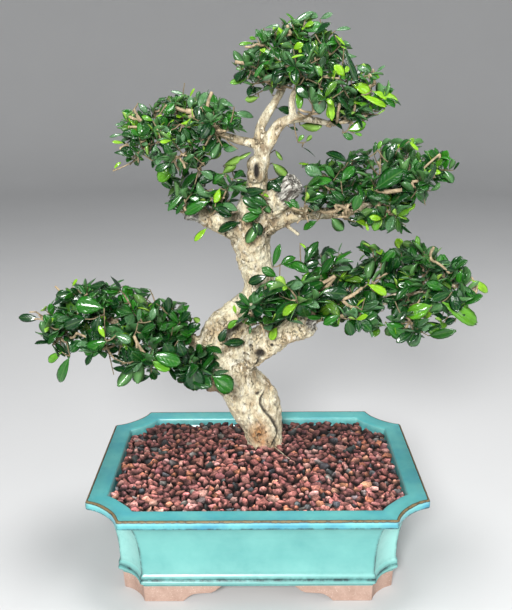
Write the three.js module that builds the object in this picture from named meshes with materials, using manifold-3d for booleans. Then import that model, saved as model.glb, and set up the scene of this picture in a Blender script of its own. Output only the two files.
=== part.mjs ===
// A fukien tea bonsai: a glazed pot on four clay feet, soil under crushed lava rock, an old curved trunk
// with its limbs, and the leafy sprays that make up five pads of foliage. Sizes are in millimetres, +Z is
// up, +Y is away from the front, and the origin is on the ground under the middle of the pot.
import * as THREE from "three";
import { mergeVertices } from "three/addons/utils/BufferGeometryUtils.js";
import Module from "manifold-3d";

const wasm = await Module();
wasm.setup();

// Driving dimensions of the pot
const potLength = 305;
const potWidth = 221;
const potHeight = 100;
const rimWidth = 18.4;
const lipDepth = 8.5;
const rimEdgeHeight = 98.8;
const footHeight = 17;
const footInset = 27.4;
const footTopInset = 26.6;
const footWall = 10;
const footNotch = { outer: 21.6, outerTop: 22, inner: 17 };
const floorTop = 27;
const drainRadius = 9;
const drainOffset = 62;

// The arches between the feet, as half their width at the ground, at the step and at the top
const longArch = [68, 43, 32];
const shortArch = [38, 22, 13];

// How far the arcs of the notched corners are flattened: outside, inside and at the rim
const notchFlat = 0.12;
const innerNotchFlat = 0.2;
const rimNotchFlat = 0.22;

// Driving dimensions of the screens over the drain holes
const screenSide = 30;
const screenThickness = 1;
const screenOpening = 7;
const screenPitch = 9.2;

// Driving dimensions of what fills it
const soilTop = 84;
const rockEdgeHeight = 93;
const rockMound = 3.5;
const rockPitch = 16;
const rockJitter = 4.4;
const rockRelief = 3.6;

// Driving dimensions of the foliage
const leafThickness = 0.8;
const leafLengths = [13, 25];
const leafWidthShare = 0.62;
const leafFold = 0.32;
const leafArch = 0.16;
const leafClearance = 2.4;
const lightLean = 0.7;
const stemRadii = [1.7, 1.1];
const stemSag = 0.1;
const stemLeafyShare = 0.72;
const nodeHeight = 1.4;
const nodeSpacing = 24;
const nodeTwist = 0.8;
const bareFacets = 0.38;

// Gap between two pieces that touch
const seat = 0.3;

// The trunk, from its foot in the soil to the fork below the crown, as x, y, z and radius
const trunkLine = [
  [13, 50, 60, 23],
  [10, 49, 82, 20],
  [7, 48, 98, 19],
  [3, 47, 119, 22],
  [-4, 45, 141, 24],
  [-15, 42, 161, 23.5],
  [-28, 40, 180, 22.5],
  [-39, 40, 200, 20.5],
  [-36, 41, 217, 18],
  [-19, 43, 232, 16.2],
  [-4, 44, 246, 14.8],
  [2, 44, 263, 14.5],
  [0, 43, 281, 15.4],
  [-3, 41, 299, 16.8],
  [-6, 40, 315, 19.6],
  [-4, 39, 329, 18.6],
  [-2, 37, 343, 14.5],
  [0, 35, 357, 10.6],
  [2, 33, 371, 8.8],
  [5, 32, 385, 7.8],
  [6, 31, 396, 7.2],
];

// The limbs, each starting inside the wood that it grows from
const limbs = {
  shoulder: [
    [-26, 39, 190, 18], [0, 30, 207, 17], [22, 22, 221, 16], [39, 15, 231, 14.2], [50, 10, 238, 11.6],
  ],
  lowRight: [
    [30, 18, 231, 8], [52, 9, 243, 6.8], [81, 2, 251, 5.5], [109, 0, 258, 4.3],
    [136, 4, 265, 3.7], [164, 8, 270, 2.8], [188, 12, 271, 1.9],
  ],
  lowLeft: [
    [-33, 40, 198, 11], [-50, 38, 204, 9], [-60, 34, 209, 6.8], [-70, 28, 216, 5.4], [-88, 22, 223, 4.5],
    [-111, 18, 229, 3.8], [-139, 16, 238, 3.3], [-171, 16, 244, 2.5], [-194, 16, 242, 1.8],
  ],
  snag: [[-26, 40, 172, 11], [-46, 34, 166, 8.4], [-51, 32, 165, 7.2]],
  leftArm: [[-6, 40, 314, 14], [-26, 36, 325, 12], [-44, 30, 335, 8.6], [-61, 26, 342, 6.4]],
  riser: [
    [-45, 30, 336, 3.8], [-51, 28, 349, 2.7], [-50, 26, 366, 2.4], [-52, 24, 386, 2.2],
    [-57, 22, 396, 1.9],
  ],
  midRight: [
    [2, 38, 324, 15], [22, 36, 331, 10], [41, 33, 335, 6.6], [61, 30, 336, 5.6], [82, 28, 338, 5],
    [103, 26, 345, 4.2], [124, 24, 356, 3.5], [144, 22, 366, 2.6], [158, 20, 374, 1.8],
  ],
  chop: [[2, 34, 332, 14], [14, 30, 343, 12.2], [25, 20, 355, 11], [35, 11, 367, 9.4]],
  peg: [[22, 35, 329, 2.4], [32, 31, 322, 1.8], [40, 29, 316, 1.9]],
  crownLeft: [
    [6, 31, 393, 6.8], [4, 32, 412, 4.7], [11, 33, 426, 4.1], [20, 34, 440, 3.6], [27, 35, 454, 3.1],
    [32, 36, 468, 2.6], [36, 36, 480, 2],
  ],
  crownRight: [
    [6, 31, 393, 7], [15, 29, 408, 5.9], [23, 27, 418, 5], [36, 24, 422, 3.9], [52, 20, 421, 3],
    [66, 17, 418, 2.3], [82, 16, 420, 1.7],
  ],
  crownMiddle: [[34, 25, 421, 3.4], [32, 23, 438, 2.8], [38, 20, 452, 2.4], [46, 16, 464, 1.9]],
  crownBack: [[20, 34, 440, 3], [26, 46, 452, 2.4], [34, 60, 464, 1.8]],
  upLeft: [
    [3, 31, 399, 4.6], [-14, 28, 403, 3.9], [-26, 25, 407, 3.5], [-39, 22, 413, 3.1], [-53, 20, 413, 2.9],
    [-71, 18, 412, 2.6], [-90, 16, 411, 2], [-98, 15, 411, 1.6],
  ],
};

// The pruning scar: its middle, the radii of its healed ring in front and behind, and its hollow
const scarPlace = [0, 27, 377];
const scarRadii = [5.4, 7.2];
const scarDepth = 8;
const scarTurn = 0.1;
const scarHollowPlace = [0.8, 20.4, 377];
const scarHollowRadii = [3, 1.6];
const scarHollowDepth = 5;

// Thick limbs get more sides, and the trunk and the shoulder have heavier bark
const trunkSides = 11;
const limbSides = { shoulder: 9, leftArm: 8, chop: 8, snag: 6, lowLeft: 6, lowRight: 6, midRight: 6 };
const thinLimbSides = 5;
const trunkSwell = 0.05;
const limbSwell = 0.03;

// The sprays: the limb that each grows from, how far along it, and where its tip is
const sprays = {
  low_left: [
    ["lowLeft", 0.97, [-206, 16, 243]], ["lowLeft", 0.86, [-184, 50, 254]],
    ["lowLeft", 0.86, [-182, -16, 230]], ["lowLeft", 0.76, [-166, 14, 268]],
    ["lowLeft", 0.66, [-150, 74, 252]], ["lowLeft", 0.66, [-140, -38, 228]],
    ["lowLeft", 0.56, [-124, 18, 262]], ["lowLeft", 0.46, [-106, 78, 244]],
    ["lowLeft", 0.44, [-98, -42, 220]], ["lowLeft", 0.32, [-84, 28, 252]],
    ["lowLeft", 0.2, [-60, -16, 196]],
  ],
  low_right: [
    ["lowRight", 0.97, [208, 12, 272]], ["lowRight", 0.87, [184, 52, 282]],
    ["lowRight", 0.88, [180, -26, 256]], ["lowRight", 0.76, [154, 14, 297]],
    ["lowRight", 0.66, [146, 72, 286]], ["lowRight", 0.68, [134, -46, 252]],
    ["lowRight", 0.5, [108, 18, 298]], ["lowRight", 0.42, [84, 76, 282]],
    ["lowRight", 0.44, [86, -54, 262]], ["lowRight", 0.3, [62, 22, 292]],
    ["lowRight", 0.22, [30, -38, 282]], ["shoulder", 0.45, [-4, -20, 260]],
  ],
  mid_right: [
    ["midRight", 0.97, [164, 18, 382]], ["midRight", 0.84, [142, 50, 388]],
    ["midRight", 0.85, [143, -14, 369]], ["midRight", 0.68, [112, 24, 386]],
    ["midRight", 0.56, [92, 72, 378]], ["midRight", 0.68, [117, -28, 346]],
    ["midRight", 0.44, [66, 34, 372]], ["midRight", 0.48, [80, -36, 350]],
    ["midRight", 0.26, [42, -22, 354]],
  ],
  up_left: [
    ["upLeft", 0.97, [-107, 15, 412]], ["upLeft", 0.86, [-100, -18, 397]],
    ["upLeft", 0.8, [-92, 46, 428]], ["upLeft", 0.6, [-70, 10, 434]],
    ["upLeft", 0.5, [-54, 58, 434]], ["upLeft", 0.56, [-66, -34, 394]],
    ["upLeft", 0.32, [-34, 40, 430]], ["upLeft", 0.34, [-36, -20, 420]],
  ],
  left_arm: [
    ["leftArm", 0.85, [-62, -8, 356]], ["leftArm", 0.5, [-26, 2, 362]],
    ["riser", 0.35, [-66, 50, 358]],
  ],
  crown: [
    ["crownLeft", 0.97, [40, 36, 492]], ["crownLeft", 0.82, [12, 26, 481]],
    ["crownLeft", 0.62, [-2, 10, 462]], ["crownMiddle", 0.97, [66, 22, 478]],
    ["crownMiddle", 0.7, [85, 2, 457]], ["crownRight", 0.96, [104, 14, 436]],
    ["crownRight", 0.72, [87, 44, 424]], ["crownMiddle", 0.82, [34, -22, 465]],
    ["crownBack", 0.96, [58, 75, 474]], ["crownBack", 0.6, [10, 66, 458]],
    ["crownRight", 0.5, [54, -16, 438]],
  ],
};

// A stream of numbers from 0 to 1 that is the same on every run
function randomFrom(seed) {
  let state = seed;
  return () => {
    state = (state * 16807) % 2147483647;
    return state / 2147483647;
  };
}

// Solids

// A closed mesh from its corners and triangles, with its faces turned outwards
function closedGeometry(corners, triangles) {
  let volume = 0;
  for (let i = 0; i < triangles.length; i += 3) {
    const [a, b, c] = [corners[triangles[i]], corners[triangles[i + 1]], corners[triangles[i + 2]]];
    volume += a.dot(new THREE.Vector3().crossVectors(b, c));
  }
  const faces = volume < 0 ? triangles.slice().reverse() : triangles;
  const geometry = new THREE.BufferGeometry().setFromPoints(corners);
  geometry.setIndex(faces);
  return geometry;
}

// A closed skin over rings of points, each ring the same length, with a fan over the first and the last
function loft(rings) {
  const count = rings[0].length;
  const corners = rings.flat();
  const triangles = [];
  for (let r = 0; r < rings.length - 1; r++) {
    for (let i = 0; i < count; i++) {
      const j = (i + 1) % count;
      const [a, b, c, d] = [r * count + i, r * count + j, (r + 1) * count + j, (r + 1) * count + i];
      triangles.push(a, b, c, a, c, d);
    }
  }
  for (const [ring, flip] of [[0, true], [rings.length - 1, false]]) {
    const middle = rings[ring].reduce((sum, p) => sum.add(p), new THREE.Vector3()).divideScalar(count);
    corners.push(middle);
    for (let i = 0; i < count; i++) {
      const [a, b] = [ring * count + i, ring * count + ((i + 1) % count)];
      triangles.push(corners.length - 1, ...(flip ? [b, a] : [a, b]));
    }
  }
  return closedGeometry(corners, triangles);
}

function solid(geometry) {
  const bare = geometry.index ? geometry.toNonIndexed() : geometry.clone();
  const merged = mergeVertices(
    new THREE.BufferGeometry().setAttribute("position", bare.getAttribute("position")), 1e-4);
  return new wasm.Manifold(
    new wasm.Mesh({
      numProp: 3,
      vertProperties: new Float32Array(merged.attributes.position.array),
      triVerts: new Uint32Array(merged.index.array),
    }),
  );
}

function join(solids) {
  return solids.reduce((whole, piece) => whole.add(piece));
}

// A solid's largest body, without the scraps that a cut leaves
function largestBody(whole) {
  return whole.decompose().sort((a, b) => b.volume() - a.volume())[0];
}

function meshOf(name, whole, material) {
  const made = whole.getMesh();
  const geometry = new THREE.BufferGeometry();
  const positions = new Float32Array(made.numVert * 3);
  for (let i = 0; i < made.numVert; i++) {
    positions.set(made.vertProperties.subarray(i * made.numProp, i * made.numProp + 3), i * 3);
  }
  geometry.setAttribute("position", new THREE.BufferAttribute(positions, 3));
  geometry.setIndex(new THREE.BufferAttribute(new Uint32Array(made.triVerts), 1));
  geometry.computeVertexNormals();
  const mesh = new THREE.Mesh(geometry, material);
  mesh.name = name;
  return mesh;
}

// Pot

// The pot's outline at one height: a rectangle whose corners are notched by an inward arc. flat draws the
// middle of the arc out towards a straight cut corner.
function potRing(z, inset, notch, flat = notchFlat, arcSteps = 3) {
  const halfX = potLength / 2 - inset;
  const halfY = potWidth / 2 - inset;
  const ring = [];
  const corners = [[1, -1, Math.PI], [1, 1, -Math.PI / 2], [-1, 1, 0], [-1, -1, Math.PI / 2]];
  for (const [sideX, sideY, start] of corners) {
    for (let i = 0; i <= arcSteps; i++) {
      const share = i / arcSteps;
      const reach = notch * (1 - flat * Math.sin(Math.PI * share));
      const angle = start - (share * Math.PI) / 2;
      ring.push(new THREE.Vector3(
        sideX * halfX + reach * Math.cos(angle), sideY * halfY + reach * Math.sin(angle), z));
    }
  }
  return ring;
}

// The feet's outline seen along one side: a stepped arch that leaves a foot at each corner
function footArch(halfFloor, halfStep, halfTop) {
  const half = [
    [halfFloor, -1], [halfFloor, 0], [halfFloor - 3, 3.4], [halfFloor - 7.5, 6.6], [halfFloor - 12, 7.9],
    [halfStep, 8.7], [halfStep - 4, 10.8], [halfTop + 2, 15.4], [halfTop, footHeight + 0.2],
  ];
  const mirrored = half.map(([x, z]) => [-x, z]).reverse();
  return new THREE.Shape([...half, ...mirrored].map(([x, z]) => new THREE.Vector2(x, z)));
}

function archCutter(shape, length, quarterTurn) {
  const geometry = new THREE.ExtrudeGeometry(shape, { depth: length, bevelEnabled: false, curveSegments: 1 });
  geometry.translate(0, 0, -length / 2);
  geometry.rotateX(Math.PI / 2);
  if (quarterTurn) geometry.rotateZ(Math.PI / 2);
  return solid(geometry);
}

// The inner wall from the lip down to the floor, as height, inset and notch radius
const innerWall = [[93, 19.2, 25.5], [80, 27, 23], [floorTop, 34, 20]];

function makePot() {
  const lipBottom = potHeight - lipDepth;
  const body = solid(loft([
    potRing(footHeight, footTopInset, footNotch.outerTop), potRing(19.6, 26.2, 22.3),
    potRing(21.4, 23, 23.6), potRing(28.4, 22.8, 23.7), potRing(31, 24.9, 23), potRing(47, 24.3, 23),
    potRing(62, 22.6, 23.5), potRing(75, 19.4, 24.6), potRing(84, 15, 26.2),
    potRing(lipBottom - 1.2, 9.6, 28.4), potRing(lipBottom, 1.6, 32.2),
    potRing(lipBottom + 1.6, 0, 33), potRing(98.6, 0, 33), potRing(potHeight, 1.5, 32.6),
    potRing(potHeight, rimWidth - 1, 26.5, rimNotchFlat), potRing(rimEdgeHeight, rimWidth, 26, rimNotchFlat),
    ...innerWall.map(([z, inset, notch]) => potRing(z, inset, notch, innerNotchFlat)),
  ]));
  const skirt = solid(loft([
    potRing(0, footInset, footNotch.outer), potRing(footHeight + 0.4, footTopInset, footNotch.outerTop)]));
  const hollow = solid(loft([
    potRing(-1, footInset + footWall, footNotch.inner, innerNotchFlat),
    potRing(footHeight, footTopInset + footWall, footNotch.inner, innerNotchFlat)]));
  const feet = skirt
    .subtract(hollow)
    .subtract(archCutter(footArch(...longArch), potWidth + 20, false))
    .subtract(archCutter(footArch(...shortArch), potLength + 20, true));
  const drains = [-drainOffset, drainOffset].map((x) => {
    const bore = new THREE.CylinderGeometry(drainRadius, drainRadius, 40, 16);
    bore.rotateX(Math.PI / 2).translate(x, 0, floorTop - 8);
    return solid(bore);
  });
  return body.add(feet).subtract(join(drains));
}

// Drain screens: coarse plastic mesh laid over the holes, under the soil

function makeScreen(x) {
  const box = (side, depth, u, v) => solid(
    new THREE.BoxGeometry(side, side, depth).translate(x + u, v, floorTop + seat + screenThickness / 2));
  const places = [-screenPitch / 2, screenPitch / 2];
  const openings = places.flatMap((u) => places.map((v) => box(screenOpening, 4 * screenThickness, u, v)));
  return box(screenSide, screenThickness, 0, 0).subtract(join(openings));
}

// Soil and lava rock

// How far the pot's inner wall stands in from the outline at a height
function wallAt(z) {
  const [[topZ, topInset, topNotch], [midZ, midInset, midNotch], [lowZ, lowInset, lowNotch]] = innerWall;
  const [z0, z1, i0, i1, n0, n1] = z > midZ
    ? [midZ, topZ, midInset, topInset, midNotch, topNotch]
    : [lowZ, midZ, lowInset, midInset, lowNotch, midNotch];
  const share = Math.min((z - z0) / (z1 - z0), 1);
  return [i0 + (i1 - i0) * share, n0 + (n1 - n0) * share];
}

function fillRing(z) {
  const [inset, notch] = wallAt(z);
  return potRing(z, inset + 2 * seat, notch, innerNotchFlat);
}

function makeSoil(trunkHole) {
  const block = solid(loft([fillRing(floorTop + seat), fillRing(innerWall[1][0]), fillRing(soilTop)]));
  const recesses = [-drainOffset, drainOffset].map((x) => {
    const box = new THREE.BoxGeometry(screenSide + 2 * seat, screenSide + 2 * seat, 4);
    return solid(box.translate(x, 0, floorTop + screenThickness + 2 * seat - 2));
  });
  return block.subtract(join(recesses)).subtract(trunkHole);
}

// The crushed rock as a field of jittered stones: each stone is a peak, with low points where three meet
function makeRock(trunkHole) {
  const random = randomFrom(20533);
  const rowStep = rockPitch * Math.sqrt(0.75);
  const columns = Math.ceil(potLength / rockPitch / 2);
  const rows = Math.ceil(potWidth / rowStep / 2);
  const mound = (x, y) => rockEdgeHeight + rockMound * Math.max(0, 1 - Math.hypot(x / 140, (y - 20) / 100));
  const peaks = new Map();
  const corners = [];
  for (let row = -rows; row <= rows; row++) {
    for (let column = -columns; column <= columns; column++) {
      const x = (column + (row % 2 ? 0.5 : 0)) * rockPitch + (random() - 0.5) * rockJitter;
      const y = row * rowStep + (random() - 0.5) * rockJitter;
      peaks.set(`${column},${row}`, corners.length);
      corners.push(new THREE.Vector3(x, y, mound(x, y) + rockRelief * (0.55 + 0.75 * random())));
    }
  }
  const triangles = [];
  const border = new Map();
  // Each group of three neighbouring peaks meets at a low point
  const lowPoint = (keys) => {
    const [a, b, c] = keys.map((key) => peaks.get(key));
    if (a === undefined || b === undefined || c === undefined) return;
    const low = corners[a].clone().add(corners[b]).add(corners[c]).divideScalar(3);
    low.z = mound(low.x, low.y) - rockRelief * 0.35 * random();
    corners.push(low);
    const l = corners.length - 1;
    for (const [from, to] of [[a, b], [b, c], [c, a]]) {
      triangles.push(from, to, l);
      border.set(`${from},${to}`, [from, to]);
    }
  };
  for (let row = -rows; row < rows; row++) {
    const shift = row % 2 ? 1 : 0;
    for (let column = -columns; column <= columns; column++) {
      lowPoint([`${column},${row}`, `${column + 1},${row}`, `${column + shift},${row + 1}`]);
      lowPoint([`${column + shift},${row + 1}`, `${column + shift - 1},${row + 1}`, `${column},${row}`]);
    }
  }
  // The skirt and the underside that close the field
  const base = soilTop + seat;
  const centre = corners.length;
  corners.push(new THREE.Vector3(0, 0, base - 10));
  for (const [from, to] of border.values()) {
    if (border.has(`${to},${from}`)) continue;
    const foot = corners.length;
    corners.push(corners[from].clone().setZ(base - 10), corners[to].clone().setZ(base - 10));
    triangles.push(to, from, foot, to, foot, foot + 1, foot + 1, foot, centre);
  }
  const field = solid(closedGeometry(corners, triangles));
  const bed = solid(loft([
    fillRing(base), fillRing(innerWall[0][0]), potRing(potHeight + 4, 19.6, 25.3, innerNotchFlat)]));
  return field.intersect(bed).subtract(trunkHole);
}

// Wood

function curveThrough(line) {
  const points = line.map(([x, y, z]) => new THREE.Vector3(x, y, z));
  return new THREE.CatmullRomCurve3(points, false, "centripetal");
}

// The curve's point and direction at each share of it, with two directions across it that turn as little as
// they can from one share to the next
function framesAlong(curve, shares) {
  let across = new THREE.Vector3(0, 1, 0);
  return shares.map((share) => {
    const along = curve.getTangent(share);
    across = across.clone().addScaledVector(along, -across.dot(along)).normalize();
    const side = new THREE.Vector3().crossVectors(along, across);
    return { share, along, across, side, centre: curve.getPoint(share) };
  });
}

function pointRound({ centre, across, side }, radius, angle) {
  return centre.clone()
    .addScaledVector(across, radius * Math.cos(angle))
    .addScaledVector(side, radius * Math.sin(angle));
}

// A tapering tube through points given as x, y, z and radius. extra thickens and lengthens it, and swell
// makes the bark bulge and pinch.
function tube(line, sides, extra = 0, swell = 0) {
  const spans = line.length - 1;
  const shares = line.map((_, i) => i / spans);
  const rings = framesAlong(curveThrough(line), shares).map((frame, i) => {
    const ring = [];
    if (i === 0) frame.centre.addScaledVector(frame.along, -extra);
    if (i === spans) frame.centre.addScaledVector(frame.along, extra);
    for (let k = 0; k < sides; k++) {
      const angle = (2 * Math.PI * k) / sides;
      const bark = 1 + swell * (Math.sin(3 * angle + 1.7 * i) + 0.7 * Math.sin(2 * angle - 2.3 * i + 1));
      ring.push(pointRound(frame, line[i][3] * bark + extra, angle));
    }
    return ring;
  });
  return solid(loft(rings));
}

// The pruning scar under the crown: a healed ring around a dark hollow, facing the front
function scar(extra) {
  const [front, back] = scarRadii;
  const lip = new THREE.CylinderGeometry(front + extra, back + extra, scarDepth, 8);
  lip.translate(0, scarDepth / 2, 0).rotateX(Math.PI).rotateZ(-scarTurn).translate(...scarPlace);
  return solid(lip);
}

function scarHollow() {
  const hollow = new THREE.CylinderGeometry(...scarHollowRadii, scarHollowDepth, 6);
  hollow.rotateX(Math.PI).translate(...scarHollowPlace);
  return solid(hollow);
}

function makeWood(extra) {
  const branches = Object.entries(limbs).map(([name, line]) =>
    tube(line, limbSides[name] ?? thinLimbSides, extra, name === "shoulder" ? trunkSwell : limbSwell));
  const whole = join([tube(trunkLine, trunkSides, extra, trunkSwell), ...branches, scar(extra)]);
  return extra ? whole : whole.subtract(scarHollow());
}

// Leaves and sprays

// A leaf's edge from one side of its root round to the other, as shares of its length and width: widest past
// its middle, with a tooth on each side of the notch at its tip
const leafEdge = [[0.6, 0.5], [0.97, 0.3], [0.9, 0], [0.97, -0.3], [0.6, -0.5]];

// Both edges of a leaf that grows from its root in a direction. It is folded up along its rib and arches back
// towards its tip.
function leafCorners({ root, direction, across, length, width }, thickness) {
  const face = new THREE.Vector3().crossVectors(direction, across);
  const edge = (lift) => leafEdge.map(([x, y]) => root.clone()
    .addScaledVector(direction, x * length)
    .addScaledVector(across, y * width)
    .addScaledVector(face, lift + leafFold * Math.abs(y) * width - leafArch * x * x * length));
  return [edge(-thickness / 2), edge(thickness / 2)];
}

// The skin of a leaf over the indices of its lower and upper edge, which each start and end at the root. Both
// faces fan out alike from the notch, so the rib is a crease.
function leafFaces(lower, upper) {
  const last = lower.length - 1;
  const notch = last / 2;
  const faces = [lower[notch], lower[last], lower[0], upper[notch], upper[0], upper[last]];
  for (let i = 0; i < last; i++) {
    faces.push(lower[i], upper[i], upper[i + 1], lower[i], upper[i + 1], lower[i + 1]);
    if (i === notch || i + 1 === notch) continue;
    faces.push(lower[notch], lower[i], lower[i + 1], upper[notch], upper[i + 1], upper[i]);
  }
  return faces;
}

// A closed, thicker copy of a leaf that starts clear of its stem. A leaf is only grown where this meets
// nothing.
function leafGuard(leaf, footing) {
  const clear = leaf.direction.clone().multiplyScalar(leafClearance);
  const moved = { ...leaf, root: leaf.root.clone().add(clear) };
  const [lower, upper] = leafCorners(moved, leafClearance * leafThickness);
  const [a, b, c, d] = footing.map((p) => p.clone().add(clear));
  const corners = [b, ...lower, a, c, ...upper, d];
  const row = lower.length + 2;
  const lowerRow = corners.slice(0, row).map((_, i) => i);
  const upperRow = lowerRow.map((i) => i + row);
  const back = [row - 1, 2 * row - 1, row, row - 1, row, 0];
  return solid(closedGeometry(corners, [...leafFaces(lowerRow, upperRow), ...back]));
}

function obstacle(body) {
  return { body, box: body.boundingBox() };
}

function meets(probe, obstacles) {
  const box = probe.boundingBox();
  return obstacles.some((o) => [0, 1, 2].every((k) => box.min[k] < o.box.max[k] && o.box.min[k] < box.max[k])
    && probe.intersect(o.body).volume() > 0);
}

// A spray's stem leaves its limb and rises towards its tip. It is four-sided, and its rings come in close
// pairs, the nodes that leaves grow from.
function stemRings([limb, share, tip]) {
  const from = curveThrough(limbs[limb]).getPoint(share);
  const to = new THREE.Vector3(...tip);
  const length = from.distanceTo(to);
  const sag = new THREE.Vector3(0, 0, -stemSag * length);
  const points = [0, 0.3, 0.7, 1].map((t) =>
    from.clone().lerp(to, t).addScaledVector(sag, Math.sin(Math.PI * t)));
  const curve = new THREE.CatmullRomCurve3(points);
  const nodes = THREE.MathUtils.clamp(Math.round(length / nodeSpacing) + 1, 2, 4);
  const shares = [0];
  for (let n = 1; n <= nodes; n++) {
    const top = 1 - (stemLeafyShare * (nodes - n)) / (nodes - 0.5);
    shares.push(top - nodeHeight / length, top);
  }
  return framesAlong(curve, shares).map((frame, i) => {
    const radius = THREE.MathUtils.lerp(...stemRadii, frame.share);
    const twist = nodeTwist * Math.ceil(i / 2);
    const ring = [0, 1, 2, 3].map((k) => pointRound(frame, radius, twist + (Math.PI / 2) * k));
    return { ...frame, twist, ring };
  });
}

// A leaf for one facet of a node, or for the end of the stem, where outward is along the stem. It leans to
// the light. A leaf that would meet something is turned and shortened, and is given up if that doesn't
// clear it.
function growLeaf(footing, along, outward, random, obstacles) {
  const [a, b, c, d] = footing;
  const root = a.clone().add(b).add(c).add(d).divideScalar(4);
  const light = along.clone().add(new THREE.Vector3(0, 0, lightLean)).normalize();
  for (let turn = 0; turn < 6; turn++) {
    const spread = 0.8 + 0.5 * random();
    const direction = light.clone()
      .multiplyScalar(Math.cos(spread))
      .addScaledVector(outward, Math.sin(spread));
    const across = b.clone().sub(a).normalize();
    direction.addScaledVector(across, 0.5 * (random() - 0.5)).normalize();
    across.addScaledVector(direction, -across.dot(direction)).normalize();
    const length = THREE.MathUtils.lerp(...leafLengths, random()) * (1 - 0.06 * turn);
    const leaf = { root, direction, across, length, width: length * leafWidthShare };
    const guard = leafGuard(leaf, footing);
    if (meets(guard, obstacles)) continue;
    obstacles.push(obstacle(guard));
    return leaf;
  }
  return undefined;
}

// A spray is one skin: the stem's facets, with a leaf's skin in place of a facet that bears one
function makeSpray(rings, random, obstacles) {
  const corners = rings.flatMap(({ ring }) => ring);
  const faces = [3, 2, 1, 3, 1, 0];
  const cover = (footing, leaf) => {
    const [a, b, c, d] = footing;
    if (!leaf) {
      faces.push(a, b, c, a, c, d);
      return;
    }
    const [lower, upper] = leafCorners(leaf, leafThickness);
    const first = corners.length;
    corners.push(...lower, ...upper);
    const lowerRow = lower.map((_, i) => first + i);
    const upperRow = upper.map((_, i) => first + lower.length + i);
    faces.push(...leafFaces([b, ...lowerRow, a], [c, ...upperRow, d]));
  };
  const place = (footing) => footing.map((i) => corners[i]);
  for (let r = rings.length - 1; r > 0; r--) {
    for (let k = 0; k < 4; k++) {
      const [a, b] = [4 * (r - 1) + k, 4 * (r - 1) + ((k + 1) % 4)];
      const footing = [a, b, b + 4, a + 4];
      const { across, side, along, twist } = rings[r];
      const angle = twist + (Math.PI / 2) * (k + 0.5);
      const outward = across.clone().multiplyScalar(Math.cos(angle)).addScaledVector(side, Math.sin(angle));
      const bears = r % 2 === 0 && random() > bareFacets;
      cover(footing, bears ? growLeaf(place(footing), along, outward, random, obstacles) : undefined);
    }
  }
  const end = [0, 1, 2, 3].map((k) => 4 * (rings.length - 1) + k);
  const { along } = rings[rings.length - 1];
  cover(end, growLeaf(place(end), along, along, random, obstacles));
  return solid(closedGeometry(corners, faces));
}

function makeSprays(woodHole, bed) {
  const stems = Object.entries(sprays).flatMap(([pad, list]) => list.map((spray, i) => {
    const rings = stemRings(spray);
    const stem = solid(loft(rings.map(({ ring }) => ring))).subtract(woodHole);
    return { name: `spray_${pad}_${String(i + 1).padStart(2, "0")}`, rings, stem };
  }));
  const obstacles = [obstacle(woodHole), obstacle(bed), ...stems.map(({ stem }) => obstacle(stem))];
  return stems.map(({ name, rings }, i) => {
    const spray = makeSpray(rings, randomFrom((i + 101) * 7919), obstacles);
    return [name, largestBody(spray.subtract(woodHole))];
  });
}

// Materials and the assembly

const finish = (color, roughness) => new THREE.MeshStandardMaterial({ color, roughness, metalness: 0 });
const glaze = finish(0x5fb9b4, 0.18);
const screenPlastic = finish(0x20231f, 0.6);
const soilEarth = finish(0x3a2a20, 0.95);
const lavaStone = finish(0x8a4a3c, 0.9);
const bark = finish(0xb7a482, 0.85);
const foliage = finish(0x1f6b2c, 0.3);

const wood = makeWood(0);
const woodHole = makeWood(seat);
const rock = makeRock(woodHole);

const bonsai = new THREE.Group();
bonsai.add(meshOf("pot", makePot(), glaze));
bonsai.add(meshOf("drain_screen_left", makeScreen(-drainOffset), screenPlastic));
bonsai.add(meshOf("drain_screen_right", makeScreen(drainOffset), screenPlastic));
bonsai.add(meshOf("soil", makeSoil(woodHole), soilEarth));
bonsai.add(meshOf("lava_rock", largestBody(rock), lavaStone));
bonsai.add(meshOf("trunk", wood, bark));
for (const [name, body] of makeSprays(woodHole, rock)) bonsai.add(meshOf(name, body, foliage));

export default bonsai;
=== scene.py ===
"""A fukien tea bonsai in its glazed pot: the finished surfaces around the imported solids.

The solids are in metres. Sizes below are in millimetres, and every mesh is brought to metres as it is made.
"""
import math

import bmesh
import bpy
import numpy as np
from mathutils import Matrix, Vector, noise


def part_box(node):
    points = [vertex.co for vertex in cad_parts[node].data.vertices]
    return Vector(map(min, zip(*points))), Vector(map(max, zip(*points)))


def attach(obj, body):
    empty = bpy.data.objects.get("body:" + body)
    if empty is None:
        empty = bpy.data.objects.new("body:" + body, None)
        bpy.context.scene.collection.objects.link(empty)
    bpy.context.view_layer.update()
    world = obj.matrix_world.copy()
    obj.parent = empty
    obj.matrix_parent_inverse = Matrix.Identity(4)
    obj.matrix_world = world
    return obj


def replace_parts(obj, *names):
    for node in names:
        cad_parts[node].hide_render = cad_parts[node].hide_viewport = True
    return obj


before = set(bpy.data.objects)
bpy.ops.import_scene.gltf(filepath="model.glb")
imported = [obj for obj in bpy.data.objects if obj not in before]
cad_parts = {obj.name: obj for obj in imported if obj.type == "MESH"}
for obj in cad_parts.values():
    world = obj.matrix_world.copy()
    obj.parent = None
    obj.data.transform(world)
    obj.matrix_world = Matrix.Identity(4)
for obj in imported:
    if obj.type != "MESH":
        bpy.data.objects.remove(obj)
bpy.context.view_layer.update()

# Pot
# A press-moulded stoneware pot, 305 by 221 by 100 mm, with corners notched by an inward curve. It is dipped
# in turquoise glaze, which thins to brown clay on its sharpest edges and pools dark in the moulding's groove.
# Under the lip it is painted dark, as painted shadow, and the notches' walls are painted paler, as painted
# light. The four feet are wiped bare, with stepped arches between them.
MM = 0.001
POT_LENGTH = 305
POT_WIDTH = 221
FOOT_TOP = 17
ARC_STEPS = 12
EDGE_ROUND = 1.3
PROFILE_ROUND = 0.7
NOTCH_FLATNESS = 0.12
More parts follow.
